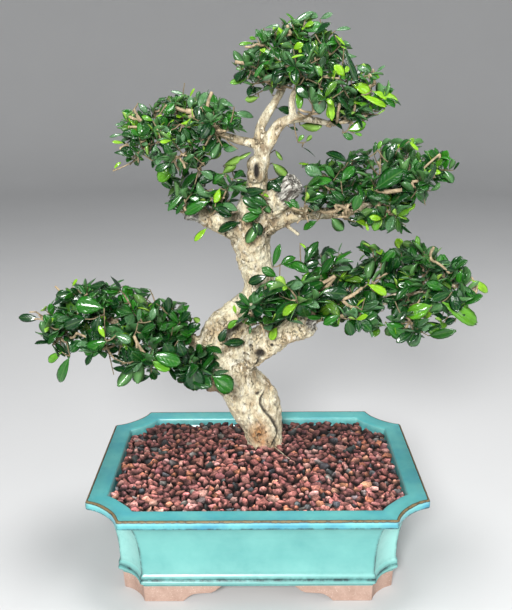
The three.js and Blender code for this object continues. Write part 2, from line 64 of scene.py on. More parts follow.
# The heights where the moulding, the wall and the rim's lip start and where the lip ends, and how far in from
# the outline the wall's outside and the lip reach
MOULDING_BOTTOM, WALL_BOTTOM, LIP_BOTTOM, LIP_TOP = 22, 30, 92, 99
WALL_INSET, LIP_INSET = 27, 2
# How dark the glaze is along an edge, by how sharp the edge is
RIDGE_GLAZE = {0: 0, 0.5: 0.4, 1: 0.9}
# Half the width of the arches between the feet, at the floor, at their step and at the top
LONG_ARCH = (68, 43, 32)
SHORT_ARCH = (38, 22, 13)
# How far in from the full outline the skirt's top, outside and inside stand, with the notch's radius there
SKIRT_TOP, SKIRT_OUTSIDE, SKIRT_INSIDE = (26.6, 22), (27.4, 21.6), (37.4, 17)
SKIRT_OVERLAP = 0.4
SKIRT_EDGE = 0.6
# A straight run of the skirt that is longer than the first number is cut into the second number of steps
SKIRT_STEPS = ((150, 150), (60, 100))
DRAIN_RADIUS = 9
DRAIN_OFFSET = 62
DRAIN_SIDES = 48
DRAIN_FROM, DRAIN_TO = 10, 40

# Each row of the pot's profile, from the foot up the outside and down the inside: height, how far it stands
# in from the full outline, the notch's radius, how flat the notch is, how thin the glaze is, how dark it is
# from pooling and, under the lip, from painted shadow, and how bare it is there
POT_PROFILE = [
    (17, 26.6, 22, 0.12, 0, 0.2, 0),
    (19.3, 26.2, 22.3, 0.12, 0, 0.5, 0),
    (20.5, 23.6, 23.4, 0.12, 0.4, 0, 0),
    (22.4, 22.6, 23.7, 0.12, 0.25, 0, 0),
    (23.9, 22.9, 23.6, 0.12, 0.2, 0.3, 0),
    (24.5, 24, 23.2, 0.12, 0, 1, 0),
    (25.6, 24, 23.2, 0.12, 0, 1, 0),
    (26.3, 23.1, 23.5, 0.12, 0, 0.8, 0),
    (29.4, 23.4, 23.5, 0.12, 0.4, 0, 0),
    (31, 24.9, 23, 0.12, 0.2, 0.2, 0),
    (34, 24.8, 23, 0.12, 0.15, 0, 0),
    (47, 24.3, 23, 0.12, 0, 0, 0),
    (55, 23.6, 23.2, 0.12, 0, 0, 0),
    (62, 22.6, 23.5, 0.12, 0, 0, 0),
    (69, 21.2, 24, 0.12, 0, 0, 0),
    (75, 19.4, 24.6, 0.12, 0, 0, 0),
    (80, 17.3, 25.4, 0.12, 0, 0, 0),
    (84, 15, 26.2, 0.12, 0, 0.1, 0),
    # From here to the lip's lower edge the rows are painted dark, as painted shadow under the lip
    (90.3, 9.6, 28.4, 0.12, 0, 0.9, 0),
    (91.3, 1.6, 32.2, 0.12, 0, 1, 0),
    (92.2, 0.3, 32.9, 0.12, 0, 1, 0),
    (93, 0, 33, 0.12, 0, 1, 0),
    (93.9, 0, 33, 0.12, 0.2, 0.3, 0),
    (95.6, -0.1, 33, 0.12, 0, 0, 0),
    (98, 0, 33, 0.12, 0.5, 0, 0),
    (98.9, 0.1, 33, 0.12, 0, 0, 0.7),
    (100, 1.1, 32.7, 0.12, 0, 0, 0.95),
    (100, 2.1, 32.4, 0.12, 0, 0, 0.58),
    (99.9, 3.1, 32, 0.13, 0, 0.2, 0),
    (99.8, 10, 29.5, 0.17, 0, 0, 0),
    (100, 17.2, 26.5, 0.22, 0.3, 0, 0.1),
    (98.8, 18.4, 26, 0.22, 0.3, 0.2, 0.2),
    (93, 19.2, 25.5, 0.2, 0, 0.5, 0),
    (80, 27, 23, 0.2, 0, 0, 0),
    (27, 34, 20, 0.2, 0, 0, 0),
]


def rounded(rows, reach):
    """The rows with each corner between them eased by a short curve. Every value in a row is eased alike."""
    rows = np.array(rows, float)
    eased = [rows[0]]
    for before, row, after in zip(rows, rows[1:], rows[2:]):
        near = row + (before - row) * min(reach / np.hypot(*(before - row)[:2]), 0.45)
        far = row + (after - row) * min(reach / np.hypot(*(after - row)[:2]), 0.45)
        eased += [near, (near + 2 * row + far) / 4, far]
    return np.array(eased + [rows[-1]])


def pot_outline(z, inset, notch, flat):
    """The pot's outline at one height, how sharp its edges are, and which of its points are in a notch."""
    half_x = POT_LENGTH / 2 - inset
    half_y = POT_WIDTH / 2 - inset
    sharp = []
    for side_x, side_y, start in ((1, -1, math.pi), (1, 1, -math.pi / 2), (-1, 1, 0), (-1, -1, math.pi / 2)):
        for i in range(ARC_STEPS + 1):
            share = i / ARC_STEPS
            reach = notch * (1 - flat * math.sin(math.pi * share))
            angle = start - share * math.pi / 2
            sharp.append((side_x * half_x + reach * math.cos(angle),
                          side_y * half_y + reach * math.sin(angle)))
    outline, edge, notched = [], [], []
    count = len(sharp)
    for i, point in enumerate(sharp):
        point = np.array(point)
        if i % (ARC_STEPS + 1) not in (0, ARC_STEPS):
            outline.append(point)
            edge.append(0)
            notched.append(1)
            continue
        before, after = np.array(sharp[i - 1]), np.array(sharp[(i + 1) % count])
        near = point + (before - point) * EDGE_ROUND / np.hypot(*(before - point))
        far = point + (after - point) * EDGE_ROUND / np.hypot(*(after - point))
        turned = [near, (near + 2 * point + far) / 4, far]
        # One more point stands on the straight side, after a notch's last point and before its first
        if i % (ARC_STEPS + 1) == ARC_STEPS:
            outline += [*turned, point + (far - point) * 2]
            edge += [0.5, 1, 0.5, 0]
            notched += [1, 0.5, 0, 0]
        else:
            outline += [point + (near - point) * 2, *turned]
            edge += [0, 0.5, 1, 0.5]
            notched += [0, 0, 0.5, 1]
    return np.column_stack([outline, np.full(len(outline), z)]), np.array(edge), np.array(notched)


def new_piece(name, corners, faces, *finishes):
    """A mesh object of this name, in metres, from corners in millimetres."""
    mesh = bpy.data.meshes.new(name)
    mesh.from_pydata((np.asarray(corners, float) * MM).tolist(), [], [list(face) for face in faces])
    mesh.update()
    piece = bpy.data.objects.new(name, mesh)
    bpy.context.scene.collection.objects.link(piece)
    for finish in finishes:
        mesh.materials.append(finish)
    return piece


def turn_outwards(piece):
    """Turns every face of a closed piece to look out of it."""
    mesh = bmesh.new()
    mesh.from_mesh(piece.data)
    bmesh.ops.recalc_face_normals(mesh, faces=mesh.faces)
    mesh.to_mesh(piece.data)
    mesh.free()


def paint(piece, name, values):
    """Stores four numbers for each corner of the mesh, which its finish reads by this name."""
    layer = piece.data.color_attributes.new(name, "FLOAT_COLOR", "POINT")
    layer.data.foreach_set("color", np.asarray(values, np.float32).ravel())


def bands(rings, count):
    """Quads between each ring of points and the next, for this many rings of this count of points."""
    faces = []
    for ring in range(rings - 1):
        for i in range(count):
            j = (i + 1) % count
            faces.append((ring * count + i, ring * count + j, (ring + 1) * count + j, (ring + 1) * count + i))
    return faces


def closed_bands(rings, count):
    """The same quads, with a cap over the first ring and one over the last."""
    last = (rings - 1) * count
    return bands(rings, count) + [tuple(range(count))[::-1], tuple(range(last, last + count))]


def combine(piece, other, how):
    """Joins another solid to the piece, or cuts it away, and deletes the other."""
    turn_outwards(other)
    cut = piece.modifiers.new("combine", "BOOLEAN")
    cut.operation = how
    cut.solver = "EXACT"
    cut.object = other
    settle(piece)
    bpy.data.objects.remove(other)


def settle(piece):
    """Applies the piece's modifiers to its mesh."""
    made = bpy.data.meshes.new_from_object(piece.evaluated_get(bpy.context.evaluated_depsgraph_get()))
    piece.modifiers.clear()
    old = piece.data
    piece.data = made
    bpy.data.meshes.remove(old)
    made.name = piece.name


def smooth(piece, degrees):
    """Shades the piece smoothly, except over edges sharper than this."""
    mesh = bmesh.new()
    mesh.from_mesh(piece.data)
    for edge in mesh.edges:
        edge.smooth = len(edge.link_faces) == 2 and edge.calc_face_angle(0) < math.radians(degrees)
    for face in mesh.faces:
        face.smooth = True
    mesh.to_mesh(piece.data)
    mesh.free()


def new_finish(name, **settings):
    """A material whose shader has these fixed settings, such as Roughness=0.4."""
    finish = bpy.data.materials.new(name)
    finish.use_nodes = True
    shader = finish.node_tree.nodes["Principled BSDF"]
    for socket, value in settings.items():
        shader.inputs[socket.replace("_", " ")].default_value = value
    return finish


def node(finish, kind, inputs=(), **properties):
    """A node of the finish. inputs gives each socket a number, a colour or another node's output."""
    made = finish.node_tree.nodes.new("ShaderNode" + kind)
    for name, value in properties.items():
        setattr(made, name, value)
    for name, value in dict(inputs).items():
        if isinstance(value, bpy.types.NodeSocket):
            finish.node_tree.links.new(value, made.inputs[name])
        else:
            made.inputs[name].default_value = value
    return made


def place(finish):
    """Where a point is on the object, in metres."""
    return node(finish, "TexCoord").outputs["Object"]


def grain(finish, scale, detail=4, rough=0.6, where=None):
    """Cloudy noise from 0 to 1 whose lumps are about one over scale metres across."""
    made = node(finish, "TexNoise", {"Vector": where or place(finish), "Scale": scale, "Detail": detail,
                                     "Roughness": rough})
    return made.outputs["Fac"]


def cells(finish, scale):
    """How far a point is from the middle of its cell, for pits and specks."""
    return node(finish, "TexVoronoi", {"Vector": place(finish), "Scale": scale}).outputs["Distance"]


def span(finish, value, low, high, bottom=0.0, top=1.0):
    """A value between low and high, spread from bottom to top and held there outside it."""
    return node(finish, "MapRange", {"Value": value, "From Min": low, "From Max": high, "To Min": bottom,
                                     "To Max": top}).outputs["Result"]


def calc(finish, how, a, b=0.0):
    """One sum on two values, or on one, such as ADD, MULTIPLY or SINE."""
    return node(finish, "Math", {0: a, 1: b}, operation=how).outputs[0]


def mix(finish, share, a, b, way="MIX"):
    """Colour a turning to colour b as the share rises. A fixed colour is given as red, green and blue."""
    a, b = ((*colour, 1) if isinstance(colour, tuple) else colour for colour in (a, b))
    return node(finish, "Mix", {0: share, 6: a, 7: b}, data_type="RGBA", blend_type=way).outputs[2]


def layers(finish, colour, *over):
    """A colour with others laid over it in turn, each given as its share and the colour."""
    for share, upper in over:
        colour = mix(finish, share, colour, upper)
    return colour


def painted(finish, name):
    """The four numbers that paint stored: red, green, blue and alpha."""
    stored = node(finish, "Attribute", attribute_name=name)
    parts = node(finish, "SeparateColor", {0: stored.outputs["Color"]})
    return [*parts.outputs[:3], stored.outputs["Alpha"]]


def finish_with(finish, colour, roughness=None, height=None, depth=0.0, strength=1.0):
    """Wires a finish's colour, its roughness and its relief, which is depth metres high."""
    shader = finish.node_tree.nodes["Principled BSDF"]
    links = finish.node_tree.links
    links.new(colour, shader.inputs["Base Color"])
    if roughness is not None:
        links.new(roughness, shader.inputs["Roughness"])
    if height is not None:
        relief = node(finish, "Bump", {"Height": height, "Distance": depth, "Strength": strength})
        links.new(relief.outputs["Normal"], shader.inputs["Normal"])


def glaze_finish():
    """Turquoise glaze: clouded, streaked, bluer on the lip, thin on edges, dark in pools and worn to clay.
    It is painted dark under the lip, as painted shadow, and paler on the notches' walls, as painted light.
    """
    glaze = new_finish("turquoise_glaze", Roughness=0.26, IOR=1.45, Coat_Weight=0.06, Coat_Roughness=0.12)
    # The first number also carries painted light on the notches' walls, and the second carries painted shadow
    # under the lip as well as pooled glaze
    thin, pool_and_shadow, bare, part = painted(glaze, "glaze")
    clouds = grain(glaze, 22, 3)
    speckle = grain(glaze, 900, 2)
    streaks = grain(glaze, 60, 5, 0.7)
    wall = mix(glaze, span(glaze, clouds, 0.35, 0.65), (0.11, 0.355, 0.34), (0.155, 0.435, 0.405))
    wall = mix(glaze, span(glaze, streaks, 0.3, 0.75, 0.0, 0.35), wall, (0.20, 0.49, 0.46))
    rim = mix(glaze, span(glaze, clouds, 0.3, 0.7), (0.075, 0.37, 0.39), (0.145, 0.48, 0.46))
    lip = mix(glaze, span(glaze, streaks, 0.3, 0.7), (0.07, 0.36, 0.42), (0.13, 0.50, 0.52))
    blue = mix(glaze, span(glaze, part, 0.5, 1.0), (0.04, 0.27, 0.38), (0.025, 0.25, 0.42))
    blue_patches = calc(glaze, "MULTIPLY", span(glaze, part, 0.2, 1.0, 0.0, 0.8),
                        span(glaze, grain(glaze, 34, 3, 0.5), 0.5, 0.66))
    # Paler where the glaze is thin, and on the notches' walls as painted light
    thin_and_lit_patches = calc(glaze, "MULTIPLY", thin, span(glaze, streaks, 0.2, 0.5, 0.45, 0.9))
    # Dark where the glaze pools, and under the lip as painted shadow
    pools_and_shadow = calc(glaze, "MULTIPLY", pool_and_shadow, span(glaze, grain(glaze, 90, 5, 0.75), 0.4, 0.58, 0.35, 1.0))
    worn = calc(glaze, "ADD", bare, span(glaze, grain(glaze, 240, 4), 0.35, 0.65, -0.14, 0.14))
    pinholes = span(glaze, cells(glaze, 70), 0.012, 0.03, 1.0, 0.0)
    colour = layers(
        glaze, wall,
        (span(glaze, part, 0.0, 0.45), rim),
        (span(glaze, part, 0.55, 1.0), lip),
        (blue_patches, blue),
        (thin_and_lit_patches, (0.40, 0.74, 0.68)),
        (pools_and_shadow, (0.022, 0.04, 0.045)),
        (span(glaze, worn, 0.34, 0.5), (0.03, 0.026, 0.018)),
        (span(glaze, worn, 0.62, 0.86), (0.19, 0.14, 0.065)),
        (pinholes, (0.02, 0.05, 0.05)),
    )
    relief = calc(glaze, "ADD", clouds, calc(glaze, "MULTIPLY", speckle, 0.08))
    finish_with(glaze, colour, span(glaze, worn, 0.42, 0.7, 0.26, 0.6), relief, 0.0012, 0.35)
    return glaze


def clay_finish():
    """Bare fired clay: pinkish brown, clouded, gritty and flecked with pale specks."""
    clay = new_finish("bare_clay", Roughness=0.85)
    grit = grain(clay, 1300, 3)
    clouds = span(clay, grain(clay, 60, 5, 0.7), 0.3, 0.7)
    colour = layers(
        clay, mix(clay, clouds, (0.38, 0.24, 0.185), (0.57, 0.395, 0.32)),
        (span(clay, grit, 0.35, 0.7, 0.0, 0.5), (0.34, 0.215, 0.165)),
        (span(clay, cells(clay, 420), 0.12, 0.2, 0.6, 0.0), (0.72, 0.58, 0.48)),
    )
    finish_with(clay, colour, span(clay, grit, 0.3, 0.7, 0.75, 0.95), grit, 0.0004, 0.6)
    return clay


def make_pot():
    """The pot in one piece: its profile carried round its outline, feet joined on and drains cut out."""
    rings, painting = [], []
    for z, inset, notch, flat, thin, pool_and_shadow, bare in rounded(POT_PROFILE, PROFILE_ROUND):
        ring, edge, notched = pot_outline(z, inset, notch, flat)
        rings.append(ring)
        part = 1.0 if LIP_BOTTOM < z < LIP_TOP and inset < LIP_INSET else 0.5 if z >= LIP_BOTTOM else 0.0
        wall = WALL_BOTTOM < z < LIP_BOTTOM and inset < WALL_INSET
        for sharpness, hollow in zip(edge, notched):
            ridge = RIDGE_GLAZE[sharpness] * (MOULDING_BOTTOM < z < LIP_TOP - 1)
            # The notches' walls are painted paler, as painted light on them, and thin glaze is paler too
            paler = max(thin, 0.6 * hollow * wall) * (z < LIP_TOP)
            painting.append((paler, max(pool_and_shadow * (1 - sharpness * wall), ridge), bare, part))
    pot = new_piece("glazed_pot", np.vstack(rings), closed_bands(len(rings), len(rings[0])),
                    glaze_finish(), clay_finish())
    paint(pot, "glaze", painting)
    turn_outwards(pot)
    combine(pot, make_feet(), "UNION")
    for x in (-DRAIN_OFFSET, DRAIN_OFFSET):
        combine(pot, make_drain(x), "DIFFERENCE")
    smooth(pot, 38)
    return pot


def arch(half, floor, step, top):
    """How high the foot's edge is at each distance from the middle of the side, for a stepped arch."""
    # A level top, a slope down to the step, the step, and a curve down to the floor
    reach = np.array([top, top + 1.4, step - 4, step, floor - 12, floor - 8, floor - 3.4, floor - 0.8, floor])
    height = np.array([FOOT_TOP + 0.3, 15.6, 10.9, 8.8, 7.9, 7.0, 3.9, 1.1, 0])
    return np.interp(half, reach, height)


def foot_wall(inset, notch):
    """One face of the skirt under the pot, its points close-set along the sides, and its lower edge."""
    ring, *_ = pot_outline(0, inset, notch, NOTCH_FLATNESS)
    wall = []
    for a, b in zip(ring, np.roll(ring, -1, axis=0)):
        length = np.hypot(*(b - a)[:2])
        steps = next((steps for least, steps in SKIRT_STEPS if length > least), 1)
        wall += [a + (b - a) * k / steps for k in range(steps)]
    wall = np.array(wall)
    rise = np.zeros(len(wall))
    front = np.abs(np.abs(wall[:, 1]) - (POT_WIDTH / 2 - inset)) < 0.2
    side = np.abs(np.abs(wall[:, 0]) - (POT_LENGTH / 2 - inset)) < 0.2
    rise[front] = arch(np.abs(wall[front, 0]), *LONG_ARCH)
    rise[side] = arch(np.abs(wall[side, 1]), *SHORT_ARCH)
    return wall[:, :2], rise


def make_feet():
    """The skirt under the pot, whose arches leave a foot at each corner."""
    outer, outer_rise = foot_wall(*SKIRT_OUTSIDE)
    inner, inner_rise = foot_wall(*SKIRT_INSIDE)
    top, _ = foot_wall(*SKIRT_TOP)
    joined = np.full(len(top), FOOT_TOP + SKIRT_OVERLAP)
    ease = 0.06
    rows = [
        (top, joined),
        (outer, outer_rise + SKIRT_EDGE),
        (outer + (inner - outer) * ease, outer_rise),
        (inner + (outer - inner) * ease, inner_rise),
        (inner, inner_rise + SKIRT_EDGE),
        (inner, joined),
    ]
    # Where the arch reaches the pot the rows are held a hair apart, so that none lies on another
    rings = [np.column_stack([flat, np.minimum(z, FOOT_TOP + SKIRT_OVERLAP - 0.02 * (5 - i) * (i > 0))])
             for i, (flat, z) in enumerate(rows)]
    count = len(top)
    last = (len(rings) - 1) * count
    faces = bands(len(rings), count)
    faces += [(last + i, last + (i + 1) % count, (i + 1) % count, i) for i in range(count)]
    feet = new_piece("feet", np.vstack(rings), faces, *pot_finishes())
    for face in feet.data.polygons:
        face.material_index = 1
    return feet


def make_drain(x):
    """A round bar that cuts one drain hole through the pot's floor."""
    angles = np.linspace(0, 2 * math.pi, DRAIN_SIDES + 1)[:-1]
    across = x + DRAIN_RADIUS * np.cos(angles), DRAIN_RADIUS * np.sin(angles)
    rings = [np.column_stack([*across, np.full(DRAIN_SIDES, float(z))]) for z in (DRAIN_FROM, DRAIN_TO)]
    return new_piece("drain", np.vstack(rings), closed_bands(2, DRAIN_SIDES), *pot_finishes())


def pot_finishes():
    """The pot's two finishes, in the order of its slots, for what is joined to it or cut out of it."""
    return bpy.data.materials["turquoise_glaze"], bpy.data.materials["bare_clay"]


pot = make_pot()
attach(pot, "root")
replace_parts(pot, "pot")

# Drain screens and soil
# Two squares of coarse black plastic mesh lie over the drain holes, and a dark mix of bark and compost fills
# the pot above them. Both keep their solids and only take a finish.
plastic = new_finish("screen_plastic", Roughness=0.5)
dust_and_painted_light = grain(plastic, 500, 4)
dusty = mix(plastic, span(plastic, dust_and_painted_light, 0.4, 0.7), (0.012, 0.014, 0.012), (0.05, 0.042, 0.034))
finish_with(plastic, dusty, span(plastic, dust_and_painted_light, 0.3, 0.7, 0.4, 0.8), dust_and_painted_light, 0.0003, 0.5)
compost = new_finish("bark_compost", Roughness=0.95)
lumps = grain(compost, 260, 6, 0.7)
chips = cells(compost, 300)
brown = layers(
    compost, mix(compost, span(compost, lumps, 0.35, 0.65), (0.012, 0.008, 0.006), (0.06, 0.036, 0.022)),
    (span(compost, chips, 0.1, 0.3, 0.35, 0.0), (0.11, 0.07, 0.04)),
)
finish_with(compost, brown, None, calc(compost, "SUBTRACT", lumps, chips), 0.003, 1.0)
for name, finish in (("drain_screen_left", plastic), ("drain_screen_right", plastic), ("soil", compost)):
    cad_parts[name].data.materials.clear()
    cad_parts[name].data.materials.append(finish)

# Lava rock
# Crushed lava, 5 to 10 mm, spread two stones deep over the soil. Most stones are maroon or red-brown, some
# are orange and a few are black. They are loose, angular and full of pits. Each is painted lighter towards
# its top and darker below, as painted light and shade, and its pits and low relief darker, as painted shade.
ROCK_EDGE_HEIGHT = 93.4
# How high the mound in the middle is, where its middle lies and how far it reaches along and across
ROCK_MOUND, MOUND_MIDDLE, MOUND_REACH = 3.5, 20, (140, 100)
ROCK_RELIEF = 3.3
ROCK_INSET = 19.6
ROCK_NOTCH = 23.5
TRUNK_FOOT = (7.5, 48)
TRUNK_FOOT_RADIUS = 18.5
# The stones' colours, and the share of the stones that has each
STONE_TINTS = [
    ((0.40, 0.155, 0.135), 0.27), ((0.54, 0.215, 0.185), 0.26), ((0.27, 0.11, 0.105), 0.15),
    ((0.64, 0.33, 0.29), 0.10), ((0.60, 0.24, 0.145), 0.08), ((0.72, 0.36, 0.25), 0.03),
    ((0.10, 0.11, 0.115), 0.07), ((0.27, 0.24, 0.23), 0.04),
]
# How many times the stones are pushed apart, by what share of their overlap, how close two may lie as a share
# of their radii, and how close one may lie to the pot or the trunk in the same way
STONE_ROUNDS, STONE_PUSH, STONE_CLOSENESS, STONE_HOLD = 90, 0.35, 0.98, 0.85
# On how many sides a stone is broken off, how rough it is, and how much it is enlarged to make up for both
STONE_SIDES, STONE_ROUGHNESS, STONE_FULLNESS = 10, 0.1, 1.34
# How far from a stone's middle it is broken off, how it is stretched, and how far it sticks out of the bed
STONE_BREAKS = (0.36, 0.85)
STONE_STRETCH = (0.72, 1.22)
STONE_STANDS = (-2.4, 1.0)
# How much lighter or darker than its tint a stone is, how far its hue strays, and how far down from its top,
# in radii, its painted light and shade reach
STONE_BRIGHTNESS, STONE_HUE, PAINTED_SHADE_REACH = (0.7, 1.55), (0.93, 1.07), 1.3
# Each layer's name, how many stones it has, their smallest and largest size, how finely each is made, and how
# deep the layer lies
STONE_LAYERS = [("lava_top", 980, 5.6, 10.2, 2, 0), ("lava_under", 600, 6, 9.6, 1, 4.6)]


def rock_surface(x, y):
    """How high the stones lie. They mound up a little around the middle."""
    mound = np.maximum(0, 1 - np.hypot(x / MOUND_REACH[0], (y - MOUND_MIDDLE) / MOUND_REACH[1]))
    return ROCK_EDGE_HEIGHT + ROCK_MOUND * mound + ROCK_RELIEF


def rough_ball(cuts):
    """The corners and faces of a ball of triangles, with a radius of one and this many cuts to an edge."""
    mesh = bmesh.new()
    bmesh.ops.create_icosphere(mesh, subdivisions=1, radius=1)
    if cuts:
        bmesh.ops.subdivide_edges(mesh, edges=mesh.edges, cuts=cuts, use_grid_fill=True)
    corners = np.array([corner.co[:] for corner in mesh.verts])
    corners /= np.linalg.norm(corners, axis=1)[:, None]
    bmesh.ops.triangulate(mesh, faces=mesh.faces)
    faces = np.array([[corner.index for corner in face.verts] for face in mesh.faces])
    mesh.free()
    return corners, faces


def stone_places(random, count, smallest, largest):
    """Places and radii of stones spread over the bed, pushed apart until they touch but hardly overlap."""
    half = np.array([POT_LENGTH, POT_WIDTH]) / 2 - ROCK_INSET
    kept_clear = [(np.array(TRUNK_FOOT), TRUNK_FOOT_RADIUS - 1)]
    kept_clear += [(half * (side_x, side_y), ROCK_NOTCH) for side_x in (-1, 1) for side_y in (-1, 1)]
    radius = random.uniform(smallest, largest, count) / 2
    spot = random.uniform(-1, 1, (count, 2)) * half
    limit = half - radius[:, None] * STONE_HOLD
    for _ in range(STONE_ROUNDS):
        apart = spot[:, None] - spot[None]
        distance = np.hypot(apart[..., 0], apart[..., 1]) + 1e-6
        overlap = np.maximum(0, STONE_CLOSENESS * (radius[:, None] + radius[None]) - distance)
        np.fill_diagonal(overlap, 0)
        spot += STONE_PUSH * (apart / distance[..., None] * overlap[..., None]).sum(axis=1)
        for centre, keep in kept_clear:
            away = spot - centre
            distance = np.hypot(*away.T)
            short = np.maximum(0, keep + radius * STONE_HOLD - distance)
            spot += away / distance[:, None] * short[:, None]
        spot = np.clip(spot, -limit, limit)
    return spot, radius


def broken_stones(random, spots, radii, cuts, sink):
    """The corners, faces and tints of a layer of stones, each a ball broken flat on many sides."""
    ball, ball_faces = rough_ball(cuts)
    corners, faces, tints = [], [], []
    chances = np.array([share for _, share in STONE_TINTS])
    for (x, y), radius in zip(spots, radii):
        stone = ball.copy()
        for _ in range(STONE_SIDES):
            flat = random.normal(size=3)
            flat /= np.linalg.norm(flat)
            over = stone @ flat - random.uniform(*STONE_BREAKS)
            stone -= np.outer(np.maximum(over, 0), flat)
        stone *= 1 + random.normal(scale=STONE_ROUGHNESS, size=(len(stone), 1))
        stone *= radius * STONE_FULLNESS * random.uniform(*STONE_STRETCH, 3)
        turn, _ = np.linalg.qr(random.normal(size=(3, 3)))
        stone = stone @ turn
        top = rock_surface(x, y) - sink + random.uniform(*STONE_STANDS)
        stone += [x, y, top - stone[:, 2].max()]
        tint = np.array(STONE_TINTS[random.choice(len(chances), p=chances / chances.sum())][0])
        # The stones at the back lie in the shade of the tree
        shade = 1.24 - 0.95 * max(0, y) / 90
        tint = tint * random.uniform(*STONE_BRIGHTNESS) * random.uniform(*STONE_HUE, 3) * shade
        # Painted light and shade: a stone is painted lighter towards its top and nearly black lower down, and
        # the stones of the layer beneath are painted darker still, as painted shade between the stones
        depth = PAINTED_SHADE_REACH * radius
        shares = np.clip((stone[:, 2] - top + depth) / depth, 0, 1)
        dust_and_painted_light = (0.015 + 1.95 * shares[:, None] ** 3.6) * (1 if sink == 0 else 0.2)
        faces.append(ball_faces + len(corners) * len(ball))
        corners.append(stone)
        tints.append(np.column_stack([dust_and_painted_light * tint, np.ones(len(ball))]))
    return np.vstack(corners), np.vstack(faces), np.vstack(tints)


lava = new_finish("crushed_lava", Roughness=0.9)
stone_colour = node(lava, "Attribute", attribute_name="tint").outputs["Color"]
pits = cells(lava, 430)
fuzz = grain(lava, 620, 5, 0.75)
# The low parts of the rough relief and the pits are painted darker, as painted shade in them
painted_relief_shade = mix(lava, 1.0, stone_colour, (0.32, 0.28, 0.27), "MULTIPLY")
lava_colour = layers(lava, stone_colour, (span(lava, fuzz, 0.4, 0.6, 0.7, 0.0), painted_relief_shade),
                     (span(lava, pits, 0.1, 0.32, 0.8, 0.0), painted_relief_shade))
finish_with(lava, lava_colour, None, calc(lava, "ADD", fuzz, span(lava, pits, 0.05, 0.35)), 0.0011, 1.0)

random = np.random.default_rng(533)
for name, count, smallest, largest, cuts, sink in STONE_LAYERS:
    spots, radii = stone_places(random, count, smallest, largest)
    corners, faces, tints = broken_stones(random, spots, radii, cuts, sink)
    stones = new_piece(name, corners, faces, lava)
    paint(stones, "tint", tints)
    smooth(stones, 14)
    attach(stones, "root")
    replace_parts(stones, "lava_rock")

# Trunk and limbs
# One old trunk, which leans left, sweeps back and rises to the crown, and the limbs that grow from it. The
# bark is pale and corky, with pits and cracks that are painted dark as painted shade. The stubs of lost limbs
# are dead, silver-grey and split.

# The middle of the trunk and of each limb, as x, y, z and radius
TRUNK = [
    (13, 50, 60, 23), (10, 49, 82, 20), (7, 48, 98, 19), (3, 47, 119, 22), (-4, 45, 141, 24),
    (-15, 42, 161, 23.5), (-28, 40, 180, 22.5), (-39, 40, 200, 20.5), (-36, 41, 217, 18),
    (-19, 43, 232, 16.2), (-4, 44, 246, 14.8), (2, 44, 263, 14.5), (0, 43, 281, 15.4), (-3, 41, 299, 16.8),
    (-6, 40, 315, 19.6), (-4, 39, 329, 18.6), (-2, 37, 343, 14.5), (0, 35, 357, 10.6), (2, 33, 371, 8.8),
    (5, 32, 385, 7.8), (6, 31, 396, 7.2),
]
LIMBS = {
    "shoulder": [
        (-26, 39, 190, 18), (0, 30, 207, 16.5), (22, 22, 222.5, 14), (39, 15, 231, 14.2),
        (50, 10, 238, 11.6)],
    "lowRight": [
        (30, 18, 231, 8), (52, 9, 243, 6.8), (81, 2, 251, 5.5), (109, 0, 258, 4.3), (136, 4, 265, 3.7),
        (164, 8, 270, 2.8), (188, 12, 271, 1.9)],
    "lowLeft": [
        (-33, 40, 198, 11), (-50, 38, 204, 9), (-60, 34, 209, 6.8), (-70, 28, 216, 5.4), (-88, 22, 223, 4.5),
        (-111, 18, 229, 3.8), (-139, 16, 238, 3.3), (-171, 16, 244, 2.5), (-194, 16, 242, 1.8)],
    "snag": [(-26, 40, 172, 11), (-46, 34, 166, 8.4), (-51, 32, 165, 7.2)],
    "leftArm": [
        (-6, 40, 314, 14), (-26, 36, 325, 12), (-45, 30, 333.5, 8.6), (-59, 27, 338, 6.9),
        (-66, 26, 336, 5.8)],
    "riser": [
        (-45, 30, 336, 3.8), (-51, 28, 349, 2.7), (-50, 26, 366, 2.4), (-52, 24, 386, 2.2),
        (-57, 22, 396, 1.9)],
    "midRight": [
        (2, 38, 324, 15), (22, 36, 331, 10), (41, 33, 335, 6.6), (61, 30, 336, 5.6), (82, 28, 338, 5),
        (103, 26, 345, 4.2), (124, 24, 356, 3.5), (144, 22, 366, 2.6), (158, 20, 374, 1.8)],
    "chop": [(2, 34, 332, 14), (14, 30, 343, 12.2), (25, 20, 355, 11), (35, 11, 367, 9.4)],
    "peg": [(22, 35, 329, 2.4), (32, 31, 322, 1.8), (40, 29, 316, 1.9)],
    "crownLeft": [
        (6, 31, 393, 6.8), (4, 32, 412, 4.7), (11, 33, 426, 4.1), (20, 34, 440, 3.6), (27, 35, 454, 3.1),
        (32, 36, 468, 2.6), (36, 36, 480, 2)],
    "crownRight": [
        (6, 31, 393, 7), (15, 29, 408, 5.9), (23, 27, 418, 5), (36, 24, 422, 3.9), (52, 20, 421, 3),
        (66, 17, 418, 2.3), (82, 16, 420, 1.7)],
    "crownMiddle": [(34, 25, 421, 3.4), (32, 23, 438, 2.8), (38, 20, 452, 2.4), (46, 16, 464, 1.9)],
    "crownBack": [(20, 34, 440, 3), (26, 46, 452, 2.4), (34, 60, 464, 1.8)],
    "upLeft": [
        (3, 31, 399, 4.6), (-14, 28, 403, 3.9), (-26, 25, 407, 3.5), (-39, 22, 413, 3.1), (-53, 20, 413, 2.9),
        (-71, 18, 412, 2.6), (-90, 16, 411, 2), (-98, 15, 411, 1.6)],
}
TRUNK_SIDES, LIMB_SIDES = 44, 24
THICK_SWELL, THIN_SWELL = 0.05, 0.03
BARK_MESH = 1.1
DEAD_GRAIN = (0.59, -0.54, 0.6)
